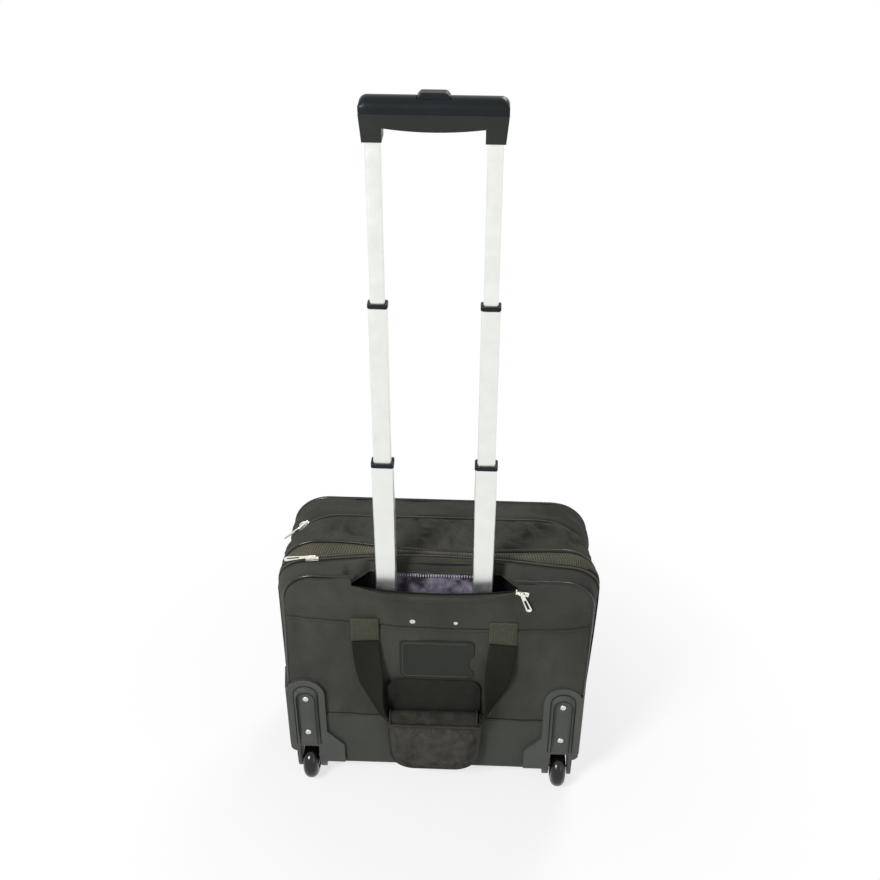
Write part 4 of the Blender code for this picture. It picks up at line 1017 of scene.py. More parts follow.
def kick_heights(x, z):
    """How far the kick panel stands off: low waves, a raised top edge and a rounded foot."""
    waves = wavy(x, z, KICK_WAVES)
    edge = 0.0011 * smooth((KICK_TOP - z) / 0.0025)
    foot = KICK_FOOT * (1 - np.sqrt(1 - np.clip((BODY_BOTTOM + KICK_FOOT - z) / 0.0066, 0, 1) ** 2))
    return 0.0002 + waves + edge - foot


def kick_panel():
    """The vinyl panel that takes the scuffs below the cloth."""
    columns = np.linspace(-KICK_HALF, KICK_HALF, 96)
    low = BODY_BOTTOM + np.array([0, 0.0006, 0.0014, 0.0025, 0.004])
    rows = np.concatenate([low, np.linspace(BODY_BOTTOM + 0.007, KICK_TOP - 0.004, 24)])
    rows = np.concatenate([rows, KICK_TOP - np.array([0.0025, 0.0012, 0.0004])])
    x, z = np.meshgrid(columns, rows, indexing="ij")
    outer = coords(x, REAR_Y - kick_heights(x, z), z)
    inner = coords(x, REAR_Y + 0.0028, z)
    inner[..., 1] = np.maximum(inner[..., 1], outer[..., 1] + 0.0005)
    slab("kick_panel_vinyl", outer, inner, "vinyl", "vinyl", "case_base", ("rear_kick_panel",))
    z = np.full_like(columns, KICK_TOP - 0.0038)
    path = coords(columns, REAR_Y - kick_heights(columns, z), z)
    stitches("kick_panel_stitches", [(path, REARWARD)], "thread", "case_base")
    # A dark cord along the kick panel's top edge, as painted shade for the groove there
    z = np.full_like(columns, KICK_TOP + 0.0006)
    y = REAR_Y - rear_heights(columns, z, np.full_like(columns, LIP_END)) - 0.0003
    laid("kick_panel_seam_shade_line", coords(columns, y, z), REARWARD, ring_profile(SEAM_R, 8), "thread", "case_base")


def lid_heights(x, z, tops):
    """How far the lid's face stands behind the front plane: tucked in at the piping, nearly flat inside."""
    edge = np.minimum.reduce([LID_HALF - np.abs(x), tops - z, z - SHELL_LOW + 0.012])
    tuck = -0.0042 * (1 - smooth(edge / 0.022))
    waves = wavy(x, z, LID_WAVES)
    return np.minimum(-0.0009 + tuck + waves + groove(z, LID_SEAM + 0.0024), 0.0001)


def on_lid(x, z):
    """Points on the lid's face, away from its top edge."""
    x, z = np.broadcast_arrays(x, z)
    return coords(x, FRONT_Y + lid_heights(x, z, 1.0), z)


def lid_face():
    """The front face of the lid, with a cross seam and a flat pocket whose mouth has a bound edge."""
    columns = np.linspace(-LID_HALF, LID_HALF, 128)
    tops = arch_top(columns, LID_HALF, LID_TOP, LID_CORNER)
    heights = rising_rows(SHELL_LOW, LID_TOP - LID_CORNER, tops, 0.0045, 14, LID_SEAM - np.arange(4) * 0.001)
    x = np.broadcast_to(columns[:, None], heights.shape)
    raised = lid_heights(x, heights, tops[:, None])
    outer = coords(x, FRONT_Y + raised, heights)
    inner = coords(x, FRONT_Y - 0.0075, heights)
    slab("lid_face_cloth", outer, inner, "nylon", "inner", "lid", ("front_lid",))
    across = np.linspace(-LID_POCKET_HALF, LID_POCKET_HALF, 80)
    down = np.linspace(SHELL_LOW + 0.006, LID_SEAM - 0.006, 60)
    rows = [on_lid(across, LID_SEAM + offset) for offset in (0.0055, -0.0052)]
    rows += [on_lid(side * LID_POCKET_HALF, down) for side in (-1, 1)]
    stitches("lid_face_stitches", [(row, FORWARD) for row in rows], "thread", "lid")
    mouth = on_lid(across, LID_SEAM) + (0, 0.0002, 0)
    laid("lid_pocket_binding", mouth, FORWARD, tape_profile(0.0038, 0.0018), "webbing_dark", "lid")


def hinge_strip():
    """The cloth that the lid folds on, along its lower edge."""
    across = np.linspace(-LID_HALF + 0.004, LID_HALF - 0.004, 60)
    rows = np.linspace(-0.010, 0.010, 9)
    x, up = np.meshgrid(across, rows, indexing="ij")
    y = FRONT_Y - 0.0046 - 0.002 * smooth(np.abs(up) / 0.01)
    outer = coords(x, y, SHELL_LOW + up)
    slab("lid_hinge_strip", outer, outer - (0, 0.0016, 0), "webbing_dark", "inner", "lid_hinge")


def upright_panel(name, half, low, top, corner, y_rear, y_front, finish, body, node, waves, foot=None):
    """A lined board or pad across the case; foot is (half width, height) of a narrower lower part."""
    columns = np.linspace(-half, half, 84)
    tops = arch_top(columns, half, top, corner)
    heights = rising_rows(low, top - corner, tops, 0.006, 12)
    x = np.broadcast_to(columns[:, None], heights.shape).copy()
    if foot is not None:
        x = x * np.where(heights < foot[1], foot[0] / half, 1.0)
    edge = np.minimum(half - np.abs(columns)[:, None], tops[:, None] - heights)
    full = smooth(edge / 0.012)
    swell = waves * full * (0.6 + 0.4 * ripples(x, heights, 14, 11, 21.0))
    middle = (y_rear + y_front) / 2
    rear = coords(x, middle - (middle - y_rear) * (0.35 + 0.65 * full) - swell, heights)
    front = coords(x, middle + (y_front - middle) * (0.35 + 0.65 * full) + swell, heights)
    return slab(name, rear, front, finish, finish, body, (node,))


def linings():
    """The boards and pads inside, the satin cloth that hangs in the trolley slot, and the slot's zip."""
    low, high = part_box("trolley_pocket_board")
    # Its lining is painted near black, standing in for the shade inside the slot's ends
    upright_panel("pocket_board_lining", high.x, 0.0700, high.z, 0.038, low.y + 0.0006, high.y, "pocket",
                  "case_base", "trolley_pocket_board", 0.0002)
    low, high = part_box("divider_panel")
    pad = upright_panel("divider_pad", high.x - 0.001, low.z, high.z - 0.007, 0.042, low.y, high.y, "inner",
                        "front_half", "divider_panel", 0.0011, (high.x - 0.022, SHELL_LOW + 0.004))
    columns = np.linspace(-SLOT_CLOTH_HALF, SLOT_CLOTH_HALF, 90)
    x, z = np.meshgrid(columns, np.linspace(*SLOT_CLOTH_Z, 46), indexing="ij")
    crumple = creased(x, z, SLOT_CRUMPLE)
    fold = np.sin(x * 2 * np.pi / 0.041 + 3 * ripples(x, z, 12, 8, 33.0))
    y = REAR_Y + SLOT_CLOTH_D + crumple + 0.0003 * fold
    rear = coords(x, y, z)
    cloth = slab("slot_lining_cloth", rear, rear + (0, 0.0004, 0), "satin", "satin", "case_base")
    top = rear[:, -1] - (0, 0.0004, 0.0050)
    zip_half("slot_zip_front", top, (0, -1, 0.3), -1, "case_base", "zip_pale", size=1.5)
    inside = np.linspace(-SLOT_HALF + 0.004, SLOT_HALF - 0.004, 80)
    lip = coords(inside, REAR_Y + 0.0032, lip_height(inside) - 0.0045)
    zip_half("slot_zip_rear", lip, (0, 1, 0.3), 1, "case_base", "zip_pale")


def rounded_outline(half_a, half_b, radius, steps=7):
    """A rectangle with round corners, counter-clockwise."""
    quarter = arc((0, 0), radius, np.linspace(0, np.pi / 2, steps))
    outline = []
    for k, (sign_a, sign_b) in enumerate(((1, 1), (-1, 1), (-1, -1), (1, -1))):
        angle = k * np.pi / 2
        spin = np.array([[np.cos(angle), np.sin(angle)], [-np.sin(angle), np.cos(angle)]])
        outline.append(quarter @ spin + (sign_a * (half_a - radius), sign_b * (half_b - radius)))
    return np.concatenate(outline)


def tube_skin(node):
    """A drawn tube with its true wall and eased ends."""
    low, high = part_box(node)
    centre, half = (low + high) / 2, (high - low) / 2
    ease = EDGE_EASE
    levels = ((ease, low.z), (0, low.z + ease), (0, high.z - ease), (ease, high.z), (TUBE_WALL, high.z),
              (TUBE_WALL, low.z), (ease, low.z))
    rings = []
    for inset, z in levels:
        outline = rounded_outline(half.x - inset, half.y - inset, TUBE_CORNER - inset)
        rings.append(coords(centre.x + outline[:, 0], centre.y + outline[:, 1], z))
    rings = np.array(rings)
    faces = grid_faces(*rings.shape[:2], True)
    piece = mesh_object(f"{node}_skin", rings, faces, ("aluminium",), sharp=40)
    return place(weld(piece), frame["nodes"][node]["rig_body"], (node,))


def weld(piece):
    """Joins points that lie on each other."""
    bm = bmesh.new()
    bm.from_mesh(piece.data)
    bmesh.ops.remove_doubles(bm, verts=bm.verts[:], dist=1e-7)
    bmesh.ops.recalc_face_normals(bm, faces=bm.faces[:])
    bm.to_mesh(piece.data)
    bm.free()
    return piece


def lathe(name, centre, axis, section, steps, finishes, split=None):
    """A closed section of (radius, along) points turned about an axis; split parts two finishes by radius."""
    axis = Vector(axis)
    side = axis.orthogonal().normalized()
    other = axis.cross(side)
    turn = full_turn(steps)
    spokes = np.outer(np.cos(turn), side) + np.outer(np.sin(turn), other)
    section = np.asarray(section, float)
    points = np.asarray(centre) + section[:, None, :1] * spokes + section[:, None, 1:] * np.asarray(axis)
    points = np.concatenate([points, points[:1]])
    faces = grid_faces(*points.shape[:2], True)
    which = None
    if split is not None:
        radii = np.append(section[:, 0], section[0, 0])
        which = np.repeat(((radii[:-1] + radii[1:]) / 2 < split).astype(int), steps)
    return weld(mesh_object(name, points, faces, finishes, which, sharp=42))


def wheel_section():
    """Half the wheel from its bore to its tread, mirrored: hub, dished disc, shoulder and crowned tread."""
    bore, hub, disc, radius, half = 0.0033, 0.0100, 0.0138, 0.0280, 0.0113
    depth = radius - WHEEL_SHOULDER
    turn = np.linspace(0, np.pi / 2, 12)[:-1]
    tread = [(WHEEL_SHOULDER + depth * math.sin(t), half * math.cos(t) ** 0.9) for t in turn]
    right = [(bore, 0.0103), (hub - 0.0006, 0.0105), (hub, 0.0099), (hub + 0.001, 0.0078),
             (disc - 0.001, 0.0078), (disc, 0.0084), *tread, (radius, 0.0)]
    return right + [(r, -a) for r, a in right[-2::-1]]


def rivet_skin(node):
    """A domed rivet head on its shank, with a rolled rim."""
    low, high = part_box(node)
    centre = Vector(((low.x + high.x) / 2, low.y, (low.z + high.z) / 2))
    radius, rise, shank = 0.0047, 0.0022, 0.0018
    end = low.y - high.y + 0.0002
    dome = [(radius * math.sin(t), -rise * (1 - math.cos(t)) * 0.9) for t in np.linspace(0.02, 1.35, 9)]
    rim = [(radius, -rise * 0.86), (radius * 0.98, -rise)]
    section = [*dome, *rim, (shank, -rise), (shank, end), (0.0001, end)]
    piece = lathe(f"{node}_skin", centre, REARWARD, section, 32, ("steel",))
    return place(piece, "case_base", (node,))


def housing_ridge(name, side):
    """The raised horseshoe moulded round the rivet strip of a wheel housing, edged with dark cords that paint
    the shade at its foot and its step.
    """
    x_middle = side * RIDGE_X
    face_y = REAR_Y - RIDGE_OUT
    lines = []
    for half, centre_z in RIDGE_LINES:
        bend = arc((0, centre_z), half, np.linspace(np.pi, 0, 25))
        foot_z = np.linspace(RIDGE_FOOT, centre_z, 16, endpoint=False)
        left = coords(-half, foot_z)
        lines.append(np.concatenate([left, bend, (left * (-1, 1))[::-1]]))
    share = np.linspace(0, 1, 9)
    flat = lines[0][:, None] * (1 - share)[None, :, None] + lines[1][:, None] * share[None, :, None]
    ends = smooth(np.minimum(np.arange(len(flat)), np.arange(len(flat))[::-1]) / 5)
    height = RIDGE_RISE * smooth(share / 0.85)[None] * (0.15 + 0.85 * ends[:, None])
    outer = coords(x_middle + flat[..., 0], face_y - height, flat[..., 1])
    inner = coords(x_middle + flat[..., 0], face_y + 0.0008, flat[..., 1])
    slab(name, outer, inner, "housing", "housing", "case_base")
    # Dark cords along the ridge's outer foot and inner step, as painted shade where the ridge meets the plate
    for part, line, depth in zip(("outer", "inner"), lines, (np.full(len(height), 0.0002), height[:, -1])):
        path = coords(x_middle + line[:, 0], face_y - depth, line[:, 1])
        laid(f"{name}_{part}_line", path, REARWARD, ring_profile(0.0007, 8), "dark_plastic", "case_base")


def tray_corner_tape(name, side):
    """Tape that closes the gap between the tray's side wall and the wheel well, from inside."""
    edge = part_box("base_tray")[1].x - 0.0012
    seat = Seat((side * edge, -0.0530, 0.0560), (0, 0, 1), FORWARD)
    outline = [(a * 0.020, b * 0.005) for a, b in ((-1, -1), (1, -1), (1, 1), (-1, 1))]
    tape = plate(f"tray_corner_tape_{name}", seat, outline, -0.0009, 0.0009, "vinyl")
    place(tape, "case_base")


def refinish(node, finish):
    """A CAD piece keeps its shape and gets a better surface."""
    piece = frame["nodes"][node]
    piece.data.materials.clear()
    piece.data.materials.append(FINISHES[finish][1])


def grip_cover_skin():
    """The cover of the grip: a bar with a round back, cut out for the button."""
    low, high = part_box("grip_cover")
    end, edge, crown, shrink = 0.0090, 0.0125, 0.0115, 0.0022
    rounding = np.linspace(0, end, 9)
    x = np.concatenate([low.x + rounding[:-1], np.linspace(low.x + end, high.x - end, 20),
                        high.x - end + rounding[1:]])
    over = np.clip(np.abs(x) - (high.x - end), 0, end) / end
    drop = 1 - np.sqrt(1 - np.minimum(over, 0.999) ** 2)
    half = (high.y - low.y) / 2 - shrink * drop
    tall = high.z - low.z - end * drop
    turn = np.linspace(0, np.pi / 2, 9)
    crown = crown * (1 - drop)
    rear = coords(half[:, None] - edge * (1 - np.cos(turn)),
                  (tall - crown)[:, None] + crown[:, None] * np.sin(turn))
    front = rear[:, ::-1] * (-1, 1)
    foot = coords(half, 0.0)[:, None]
    ring = np.concatenate([foot, rear, front, foot * (-1, 1)], 1)
    path = coords(x, (low.y + high.y) / 2, low.z)
    cover = sweep("grip_cover_skin", path, (0, 0, 1), ring, "dark_plastic")
    low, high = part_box("release_button")
    gap = Vector((0.0005, 0.0005, 0.02))
    cutter = linked("button_slot", bpy.data.meshes.new("button_slot"))
    corners = list(itertools.product(*zip(low - gap, high + gap)))
    faces = [(0, 1, 3, 2), (4, 6, 7, 5), (0, 4, 5, 1), (2, 3, 7, 6), (0, 2, 6, 4), (1, 5, 7, 3)]
    cutter.data.from_pydata(corners, [], faces)
    slot = cover.modifiers.new("button_slot", "BOOLEAN")
    slot.object = cutter
    apply_modifiers(cover)
    bpy.data.objects.remove(cutter)
    cover.data.set_sharp_from_angle(angle=math.radians(40))
    place(cover, "upper_stage", ("grip_cover",))


def hard_parts():
    """Tubes, collars, brackets, grip, wheels, housings, rivets and feet."""
    softened("base_tray", "vinyl", 0.0022, 4)
    softened("grip_body", "grey_plastic", 0.0026, 4)
    grip_cover_skin()
    softened("release_button", "dark_plastic", 0.0014, 4)
    softened("trolley_top_bracket", "dark_plastic", 0.0008, 2)
    softened("trolley_base_bracket", "dark_plastic", 0.0008, 2)
    refinish("release_yoke", "steel")
    refinish("button_spring", "steel")
    for name, side in SIDES:
        for stage_name in ("outer", "lower", "middle", "upper"):
            tube_skin(f"{stage_name}_tube_{name}")
        for stage_name in ("lower", "middle"):
            softened(f"{stage_name}_collar_{name}", "dark_plastic", 0.0007, 3)
        refinish(f"guide_plug_{name}", "dark_plastic")
        softened(f"wheel_housing_{name}", "housing", 0.0008, 3)
        housing_ridge(f"wheel_housing_ridge_{name}", side)
        tray_corner_tape(name, side)
        low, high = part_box(f"wheel_{name}")
        wheel = lathe(f"wheel_{name}_tyre", (low + high) / 2, (1, 0, 0), wheel_section(), 64,
                      ("rubber", "grey_plastic"), WHEEL_SPLIT)
        place(wheel, f"{name}_wheel", (f"wheel_{name}",))
        softened(f"wheel_axle_{name}", "steel", 0.0003, 2)
        softened(f"front_foot_{name}", "rubber", 0.0016, 3)
        for node in (f"housing_rivet_upper_{name}", f"housing_rivet_lower_{name}", f"panel_rivet_{name}"):
            rivet_skin(node)


class Seat:
    """A small set of axes on a surface: along, across and out."""

    def __init__(self, origin, along, across):
        self.origin = np.array(origin, float)
        self.along = np.array(Vector(along).normalized())
        self.across = np.array(Vector(across).normalized())
        self.out = np.cross(self.along, self.across)

    def at(self, points):
        points = np.asarray(points, float)
        return (self.origin + points[..., :1] * self.along + points[..., 1:2] * self.across
                + points[..., 2:] * self.out)

    def turned(self, degrees):
        """The same seat with its axes turned in the surface."""
        angle = math.radians(degrees)
        along = self.along * math.cos(angle) + self.across * math.sin(angle)
        return Seat(self.origin, along, np.cross(self.out, along))


def plate(name, seat, outline, low, high, finish, hole=None):
    """A flat piece with eased edges on a seat; hole is an inner outline with as many points."""
    outline = np.asarray(outline, float)
    middle = (outline.max(0) + outline.min(0)) / 2
    rings = []
    for line, sign in ((outline, 1), (hole, -1)):
        if line is None:
            continue
        line = np.asarray(line, float)
        shrunk = line + sign * EDGE_EASE * unit(middle - line)
        layers = [(shrunk, low), (line, low + EDGE_EASE), (line, high - EDGE_EASE), (shrunk, high)]
        rings += [coords(*ring.T, height) for ring, height in layers[::sign]]
    if hole is not None:
        rings.append(rings[0])
    points = seat.at(np.array(rings))
    rows, columns = points.shape[:2]
    faces = grid_faces(rows, columns, True)
    if hole is None:
        faces += [list(range(columns))[::-1], list(range((rows - 1) * columns, rows * columns))]
    return weld(mesh_object(name, points, faces, (finish,), sharp=45))


def slider_skin(name, seat, body, node):
    """A zip slider: two shield-shaped plates, the post between them and the bridge that holds its pull."""
    half = SLIDER_HALF
    shield = [(-half, -0.0023), (-half * 0.2, -0.0031), (half * 0.55, -0.0040), (half, -0.0036),
              (half * 1.06, -0.0012)]
    shield = shield + [(a, -b) for a, b in reversed(shield)]
    post = rounded_outline(0.0020, 0.0010, 0.0008, 4)
    layers = (("base", shield, -0.0004, 0.0009), ("crown", shield, 0.0023, 0.0036),
              ("post", post, 0.0006, 0.0026))
    pieces = [plate(f"{name}_{part}", seat, *layer, "zip_metal") for part, *layer in layers]
    turn = np.linspace(0, np.pi, 17)
    arch = coords(-0.0052 * np.cos(turn), 0.0, 0.0030 + 0.0034 * np.sin(turn) ** 0.6)
    bar = ring_profile(0.0009, 10, 1.5)
    pieces.append(sweep(f"{name}_bridge", seat.at(arch), seat.across, bar, "zip_metal"))
    for piece in pieces:
        place(piece, body)
    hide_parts(node)


def tab_skin(name, seat, body, node):
    """A zip pull: a long drop with an open window and an eye that goes round the bridge."""
    turn = np.linspace(-np.pi / 2, np.pi / 2, 9)
    outline = [arc((TAB_REACH - TAB_HALF, 0), TAB_HALF, turn), arc((-0.0004, 0), -0.0024, turn)]
    window = [arc((TAB_REACH - 0.0056, 0), 0.0016, turn), arc((0.0110, 0), -0.0014, turn)]
    drop = plate(f"{name}_drop", seat, np.concatenate(outline), -0.0009, 0.0009, "zip_metal",
                 np.concatenate(window))
    place(drop, body, (node,))


def zip_metalwork():
    """The three sliders with their pulls, where they are parked."""
    x, z = SLOT_SLIDER
    slot = Seat((x, REAR_Y - 0.0012, z), (1, 0, 0), (0, 0, 1)).turned(SLOT_SLIDER_TURN)
    slider_skin("slot_slider", slot, "slot_slider", "slot_zip_slider")
    hang = Seat((x, REAR_Y - 0.0068, z), (0, 0, -1), (1, 0, 0)).turned(SLOT_PULL_TURN)
    tab_skin("slot_pull", hang, "slot_pull", "slot_zip_tab")
    low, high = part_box("rear_zip_slider")
    middle = (low + high) / 2
    over = ARCH_Z > TOP_FROM
    line = REAR_Y + np.interp(middle.x, ARCH_X[over], rear_line()[over])
    rear = Seat((middle.x, line, low.z + 0.0002), (-1, 0, 0), REARWARD)
    slider_skin("rear_slider", rear, "rear_slider", "rear_zip_slider")
    hinge = Seat((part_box("rear_zip_tab")[1].x - 0.001, line, low.z + 0.0036), (-1, 0, -0.13), REARWARD)
    tab_skin("rear_pull", hinge, "rear_pull", "rear_zip_tab")
    angle = math.radians(FRONT_SLIDER_AT)
    outward = Vector((-math.sin(angle), 0, math.cos(angle)))
    along = Vector((-math.cos(angle), 0, -math.sin(angle)))
    half, top, corner = STATIONS[4, 1:]
    centre = Vector((corner - half, REAR_Y + FRONT_ZIP_D, top - corner))
    front = Seat(centre + outward * (corner + 0.0006), along, REARWARD)
    slider_skin("front_slider", front, "front_slider", "front_zip_slider")
    hinge = centre + along * (SLIDER_HALF + 0.0004) + outward * (corner + 0.0036)
    across = outward * 0.6 - Vector((0, 0.8, 0))
    tab_skin("front_pull", Seat(hinge, along + outward * 0.06, across), "front_pull", "front_zip_tab")


def webbing(name, path, out, half, thick, finish, body, nodes=()):
    """A flat woven strap along a path; half width and outward direction may change on the way."""
    path = np.asarray(path, float)
    half = np.broadcast_to(half, (len(path),))
    profile = np.array([tape_profile(h, thick, 5) for h in half])
    laid(name, path, out, profile, finish, body, nodes)


def boxed_cross(name, x, y, half, low, high, out, body):
    """Stitches round a box and over its diagonals."""
    across = x + half * np.array((-1, 1, 1, -1, -1, 1, 1, -1))
    up = np.array((low, low, high, high, low, high, low, high))
    stitches(f"{name}_stitches", [(coords(across, y, up), out)], "thread_pale", body, CROSS_PITCH)


def anchor(name):
    """A strap end folded under and sewn to the panel with a boxed cross."""
    low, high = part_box(f"strap_anchor_{name}")
    middle = (low + high) / 2
    half = (high.x - low.x) / 2 - 0.0005
    turn = np.linspace(np.pi * 0.5, np.pi * 1.5, 9)
    radius = 0.0012
    fold = coords(high.z - 0.0015 + radius * np.cos(turn), -0.0020 - radius * np.sin(turn))[::-1]
    lines = np.concatenate([[(low.z, -0.0008)], fold, [(low.z + 0.002, -0.0034), (low.z - 0.0025, -0.0040)]])
    path = coords(middle.x, REAR_Y + lines[:, 1], lines[:, 0])
    path, _ = even_path(path, REARWARD, 0.0015)
    tangent = unit(np.gradient(path, axis=0))
    out = np.cross(tangent, (1, 0, 0))
    node = f"strap_anchor_{name}"
    # The fold is painted in the lighter webbing, standing in for the light on the strap's top
    webbing(f"{node}_fold", path, out, half, 0.0021, "webbing", "case_base", (node,))
    boxed_cross(node, middle.x, REAR_Y - 0.0050, half - 0.0045, low.z + 0.0060, high.z - 0.0070, REARWARD,
                "case_base")


def carry_strap(name, side):
    """A strap that hangs from its anchor, leans in and turns on edge into the padded wrap."""
    share = np.linspace(0, 1, 46)
    control = np.array([(ANCHOR_X, 0.2815), (ANCHOR_X - 0.004, 0.226), (ANCHOR_X - 0.009, 0.168),
                        (WRAP_HALF - 0.001, 0.1385)])
    weights = coords((1 - share) ** 3, 3 * share * (1 - share) ** 2, 3 * share**2 * (1 - share), share**3)
    line = weights @ control
    bow = 0.0058 + 0.0095 * smooth(share) + 0.0030 * np.sin(np.pi * share)
    path = coords(side * line[:, 0], REAR_Y - bow, line[:, 1])
    twist = np.radians((60 if side > 0 else 50) * smooth((share - 0.22) / 0.6))
    along = unit(np.gradient(path, axis=0))
    flat = unit(np.cross(np.cross(along, REARWARD), along))
    sideways = np.cross(along, flat)
    out = flat * np.cos(twist)[:, None] - sideways * np.sin(twist)[:, None] * side
    half = STRAP_HALF * (1 - 0.38 * smooth((share - 0.25) / 0.75))
    node = f"carry_strap_{name}"
    webbing(f"{node}_web", path, out, half, 0.0022, "webbing_dark", "carry_handle", (node,))


def wrap_half(z):
    """Half width of the wrap at a height: straight sides and wide round lower corners."""
    below = np.clip(WRAP_LOW + WRAP_CORNER - z, 0, WRAP_CORNER)
    taper = WRAP_TAPER * np.clip((FLAP_Z - z) / (FLAP_Z - WRAP_LOW), 0, 1)
    return WRAP_HALF - taper - WRAP_CORNER + np.sqrt(WRAP_CORNER**2 - below**2)


def inflate(piece, held):
    """Lets a sewn pad swell and pucker under its filling while its edges are held."""
    points = np.array([v.co for v in piece.data.vertices])
    group = piece.vertex_groups.new(name="held")
    group.add(held, 1.0, "REPLACE")
    cloth = piece.modifiers.new("cloth", "CLOTH")
    for key, value in PAD_CLOTH.items():
        setattr(cloth.settings, key, value)
    cloth.settings.vertex_group_mass = "held"
    cloth.settings.effector_weights.gravity = 0
    cloth.collision_settings.use_collision = False
    cloth.point_cache.frame_end = PAD_FRAMES
    scene = bpy.context.scene
    for step in range(1, PAD_FRAMES + 1):
        scene.frame_set(step)
    apply_modifiers(piece)
    scene.frame_set(1)
    moved = np.array([v.co for v in piece.data.vertices]) - points
    far = np.linalg.norm(moved, axis=1, keepdims=True)
    points = points + moved * np.minimum(1, PAD_SWELL / np.maximum(far, 1e-9))
    piece.data.vertices.foreach_set("co", points.astype(np.float32).ravel())
    piece.vertex_groups.clear()


def wrap_pad():
    """The padded flap of the carry handle's wrap: filled cloth, puckered, with a bound edge."""
    top = FLAP_Z + 0.003
    rows = np.concatenate([WRAP_LOW + np.array([0, 0.0004, 0.0012]), np.linspace(WRAP_LOW + 0.003, top, 32)])
    share = np.linspace(-1, 1, 45)
    z, s = np.meshgrid(rows, share, indexing="ij")
    x = s * wrap_half(z)
    edge = np.minimum(wrap_half(z) - np.abs(x), np.minimum(z - WRAP_LOW, top - z) + 0.0005)
    full = smooth(edge / 0.026) ** 0.6
    nap = wavy(x, z, PAD_WAVES) * full
    front = coords(x, WRAP_MIDDLE - 0.0014 - 0.0062 * full - nap, z)
    back = coords(x, WRAP_MIDDLE + 0.0014 + 0.0042 * full, z)
    near, far, rim = two_sided(*z.shape)
    pad = mesh_object("carry_handle_pad", np.stack([front, back]), near + far + rim, ("wrap",))
    count = z.size
    index = np.arange(count).reshape(z.shape)
    border = np.concatenate([edge.ravel() for edge in (index[:2], index[-2:], index[:, :2], index[:, -2:])])
    held = np.unique(np.concatenate([border, border + count])).tolist()
    inflate(pad, held)
    finer = pad.modifiers.new("finer", "SUBSURF")
    finer.levels = finer.render_levels = 1
    apply_modifiers(pad)
    place(pad, "carry_handle", ("carry_handle_wrap",))
    bend = np.linspace(0, 1, 40) ** 1.5
    heights = WRAP_LOW + (FLAP_Z + 0.002 - WRAP_LOW) * bend
    side = coords(wrap_half(heights), WRAP_MIDDLE, heights)
    path = np.concatenate([(side * (-1, 1, 1))[::-1], side])
    bind("carry_handle_pad", path, 0.0031)


def bind(name, path, half):
    """Binding tape folded over an edge of the wrap, with a row of stitches along it."""
    path, _ = even_path(path, REARWARD, 0.0030)
    laid(f"{name}_binding", path, REARWARD, ring_profile(half, 14, 0.95), "binding", "carry_handle")
    row = path + np.array(REARWARD) * half * 0.98
    stitches(f"{name}_binding_stitches", [(row, REARWARD)], "thread", "carry_handle", 0.0032)


def rolled(x, half, tuck, swell, radii, steps):
    """Sections of a soft roll along x: uneven, and tucked in at its ends; tuck is (share, length)."""
    turn = full_turn(steps)
    tucked = 1 - tuck[0] + tuck[0] * smooth((half - np.abs(x)) / tuck[1])
    section = coords(np.cos(turn) * radii[0], np.sin(turn) * radii[1])
    uneven = 1 + swell[0] * ripples(x[:, None], turn[None] * 0.02, *swell[1:])
    return section[None] * (uneven * tucked[:, None])[..., None]


def wrap_roll():
    """The top of the wrap, rolled round the straps, with its flap's bound edge and a cuff at each end."""
    x = np.linspace(-WRAP_HALF, WRAP_HALF, 64)
    profile = rolled(x, WRAP_HALF, (0.20, 0.010), (0.10, 30, 40, 51.0), (0.0108, 0.0090), 28)
    y_middle, z_middle = WRAP_MIDDLE - 0.0008, (FLAP_Z + WRAP_TOP) / 2 + 0.0008
    path = coords(x, y_middle, z_middle)
    # The roll is painted darker than the pad, as painted shade
    roll = laid("carry_handle_roll", path, REARWARD, profile, "wrap_shaded", "carry_handle")
    sag = -0.0012 * (1 - (x / WRAP_HALF) ** 2)
    edge = coords(x, WRAP_MIDDLE - 0.0088, FLAP_Z + 0.0012 + sag)
    bind("carry_handle_flap", edge, 0.0021)
    turn = full_turn(28)
    for name, side in SIDES:
        ring = coords(side * (WRAP_HALF - 0.0045), y_middle - np.sin(turn) * 0.0088,
                      z_middle + np.cos(turn) * 0.0106)
        laid(f"carry_handle_cuff_{name}", ring, (side, 0, 0), ring_profile(0.0030, 10, 0.5), "binding",
             "carry_handle", closed=True)


def wrap_back():
    """The far flap of the wrap, lying up against the panel behind the handle, its left edge curling off."""
    half, top, corner = 0.0640, 0.2095, 0.014
    columns = np.linspace(-half, half, 48)
    rows = np.linspace(WRAP_TOP - 0.010, top, 24)
    x, z = np.meshgrid(columns, rows, indexing="ij")
    over = np.clip(np.abs(x) - (half - corner), 0, corner)
    z = z - (corner - np.sqrt(corner**2 - over**2)) * smooth((z - 0.165) / 0.045)
    curl = 0.0050 * smooth((-x - 0.046) / 0.016) * smooth((z - 0.162) / 0.02)
    edge = np.minimum(half - np.abs(x), top - z + 0.0004)
    full = smooth(edge / 0.010)
    y = REAR_Y - 0.0052 - curl - wavy(x, z, FLAP_WAVES)
    outer = coords(x, y - 0.0012 * full, z)
    inner = coords(x, y + 0.0010, z)
    # Its dark colour is partly lining cloth and partly painted shade behind the handle
    flap = slab("carry_handle_back_flap", outer, inner, "wrap_dark", "wrap_dark", "carry_handle")
    border = np.concatenate([outer[0, :], outer[1:, -1], outer[-1, ::-1][1:]]) + (0, 0.0010, 0)
    path, _ = even_path(border, REARWARD, 0.003)
    roll = ring_profile(0.0013, 10, 0.9)
    laid("carry_handle_back_binding", path, REARWARD, roll, "wrap_dark", "carry_handle")


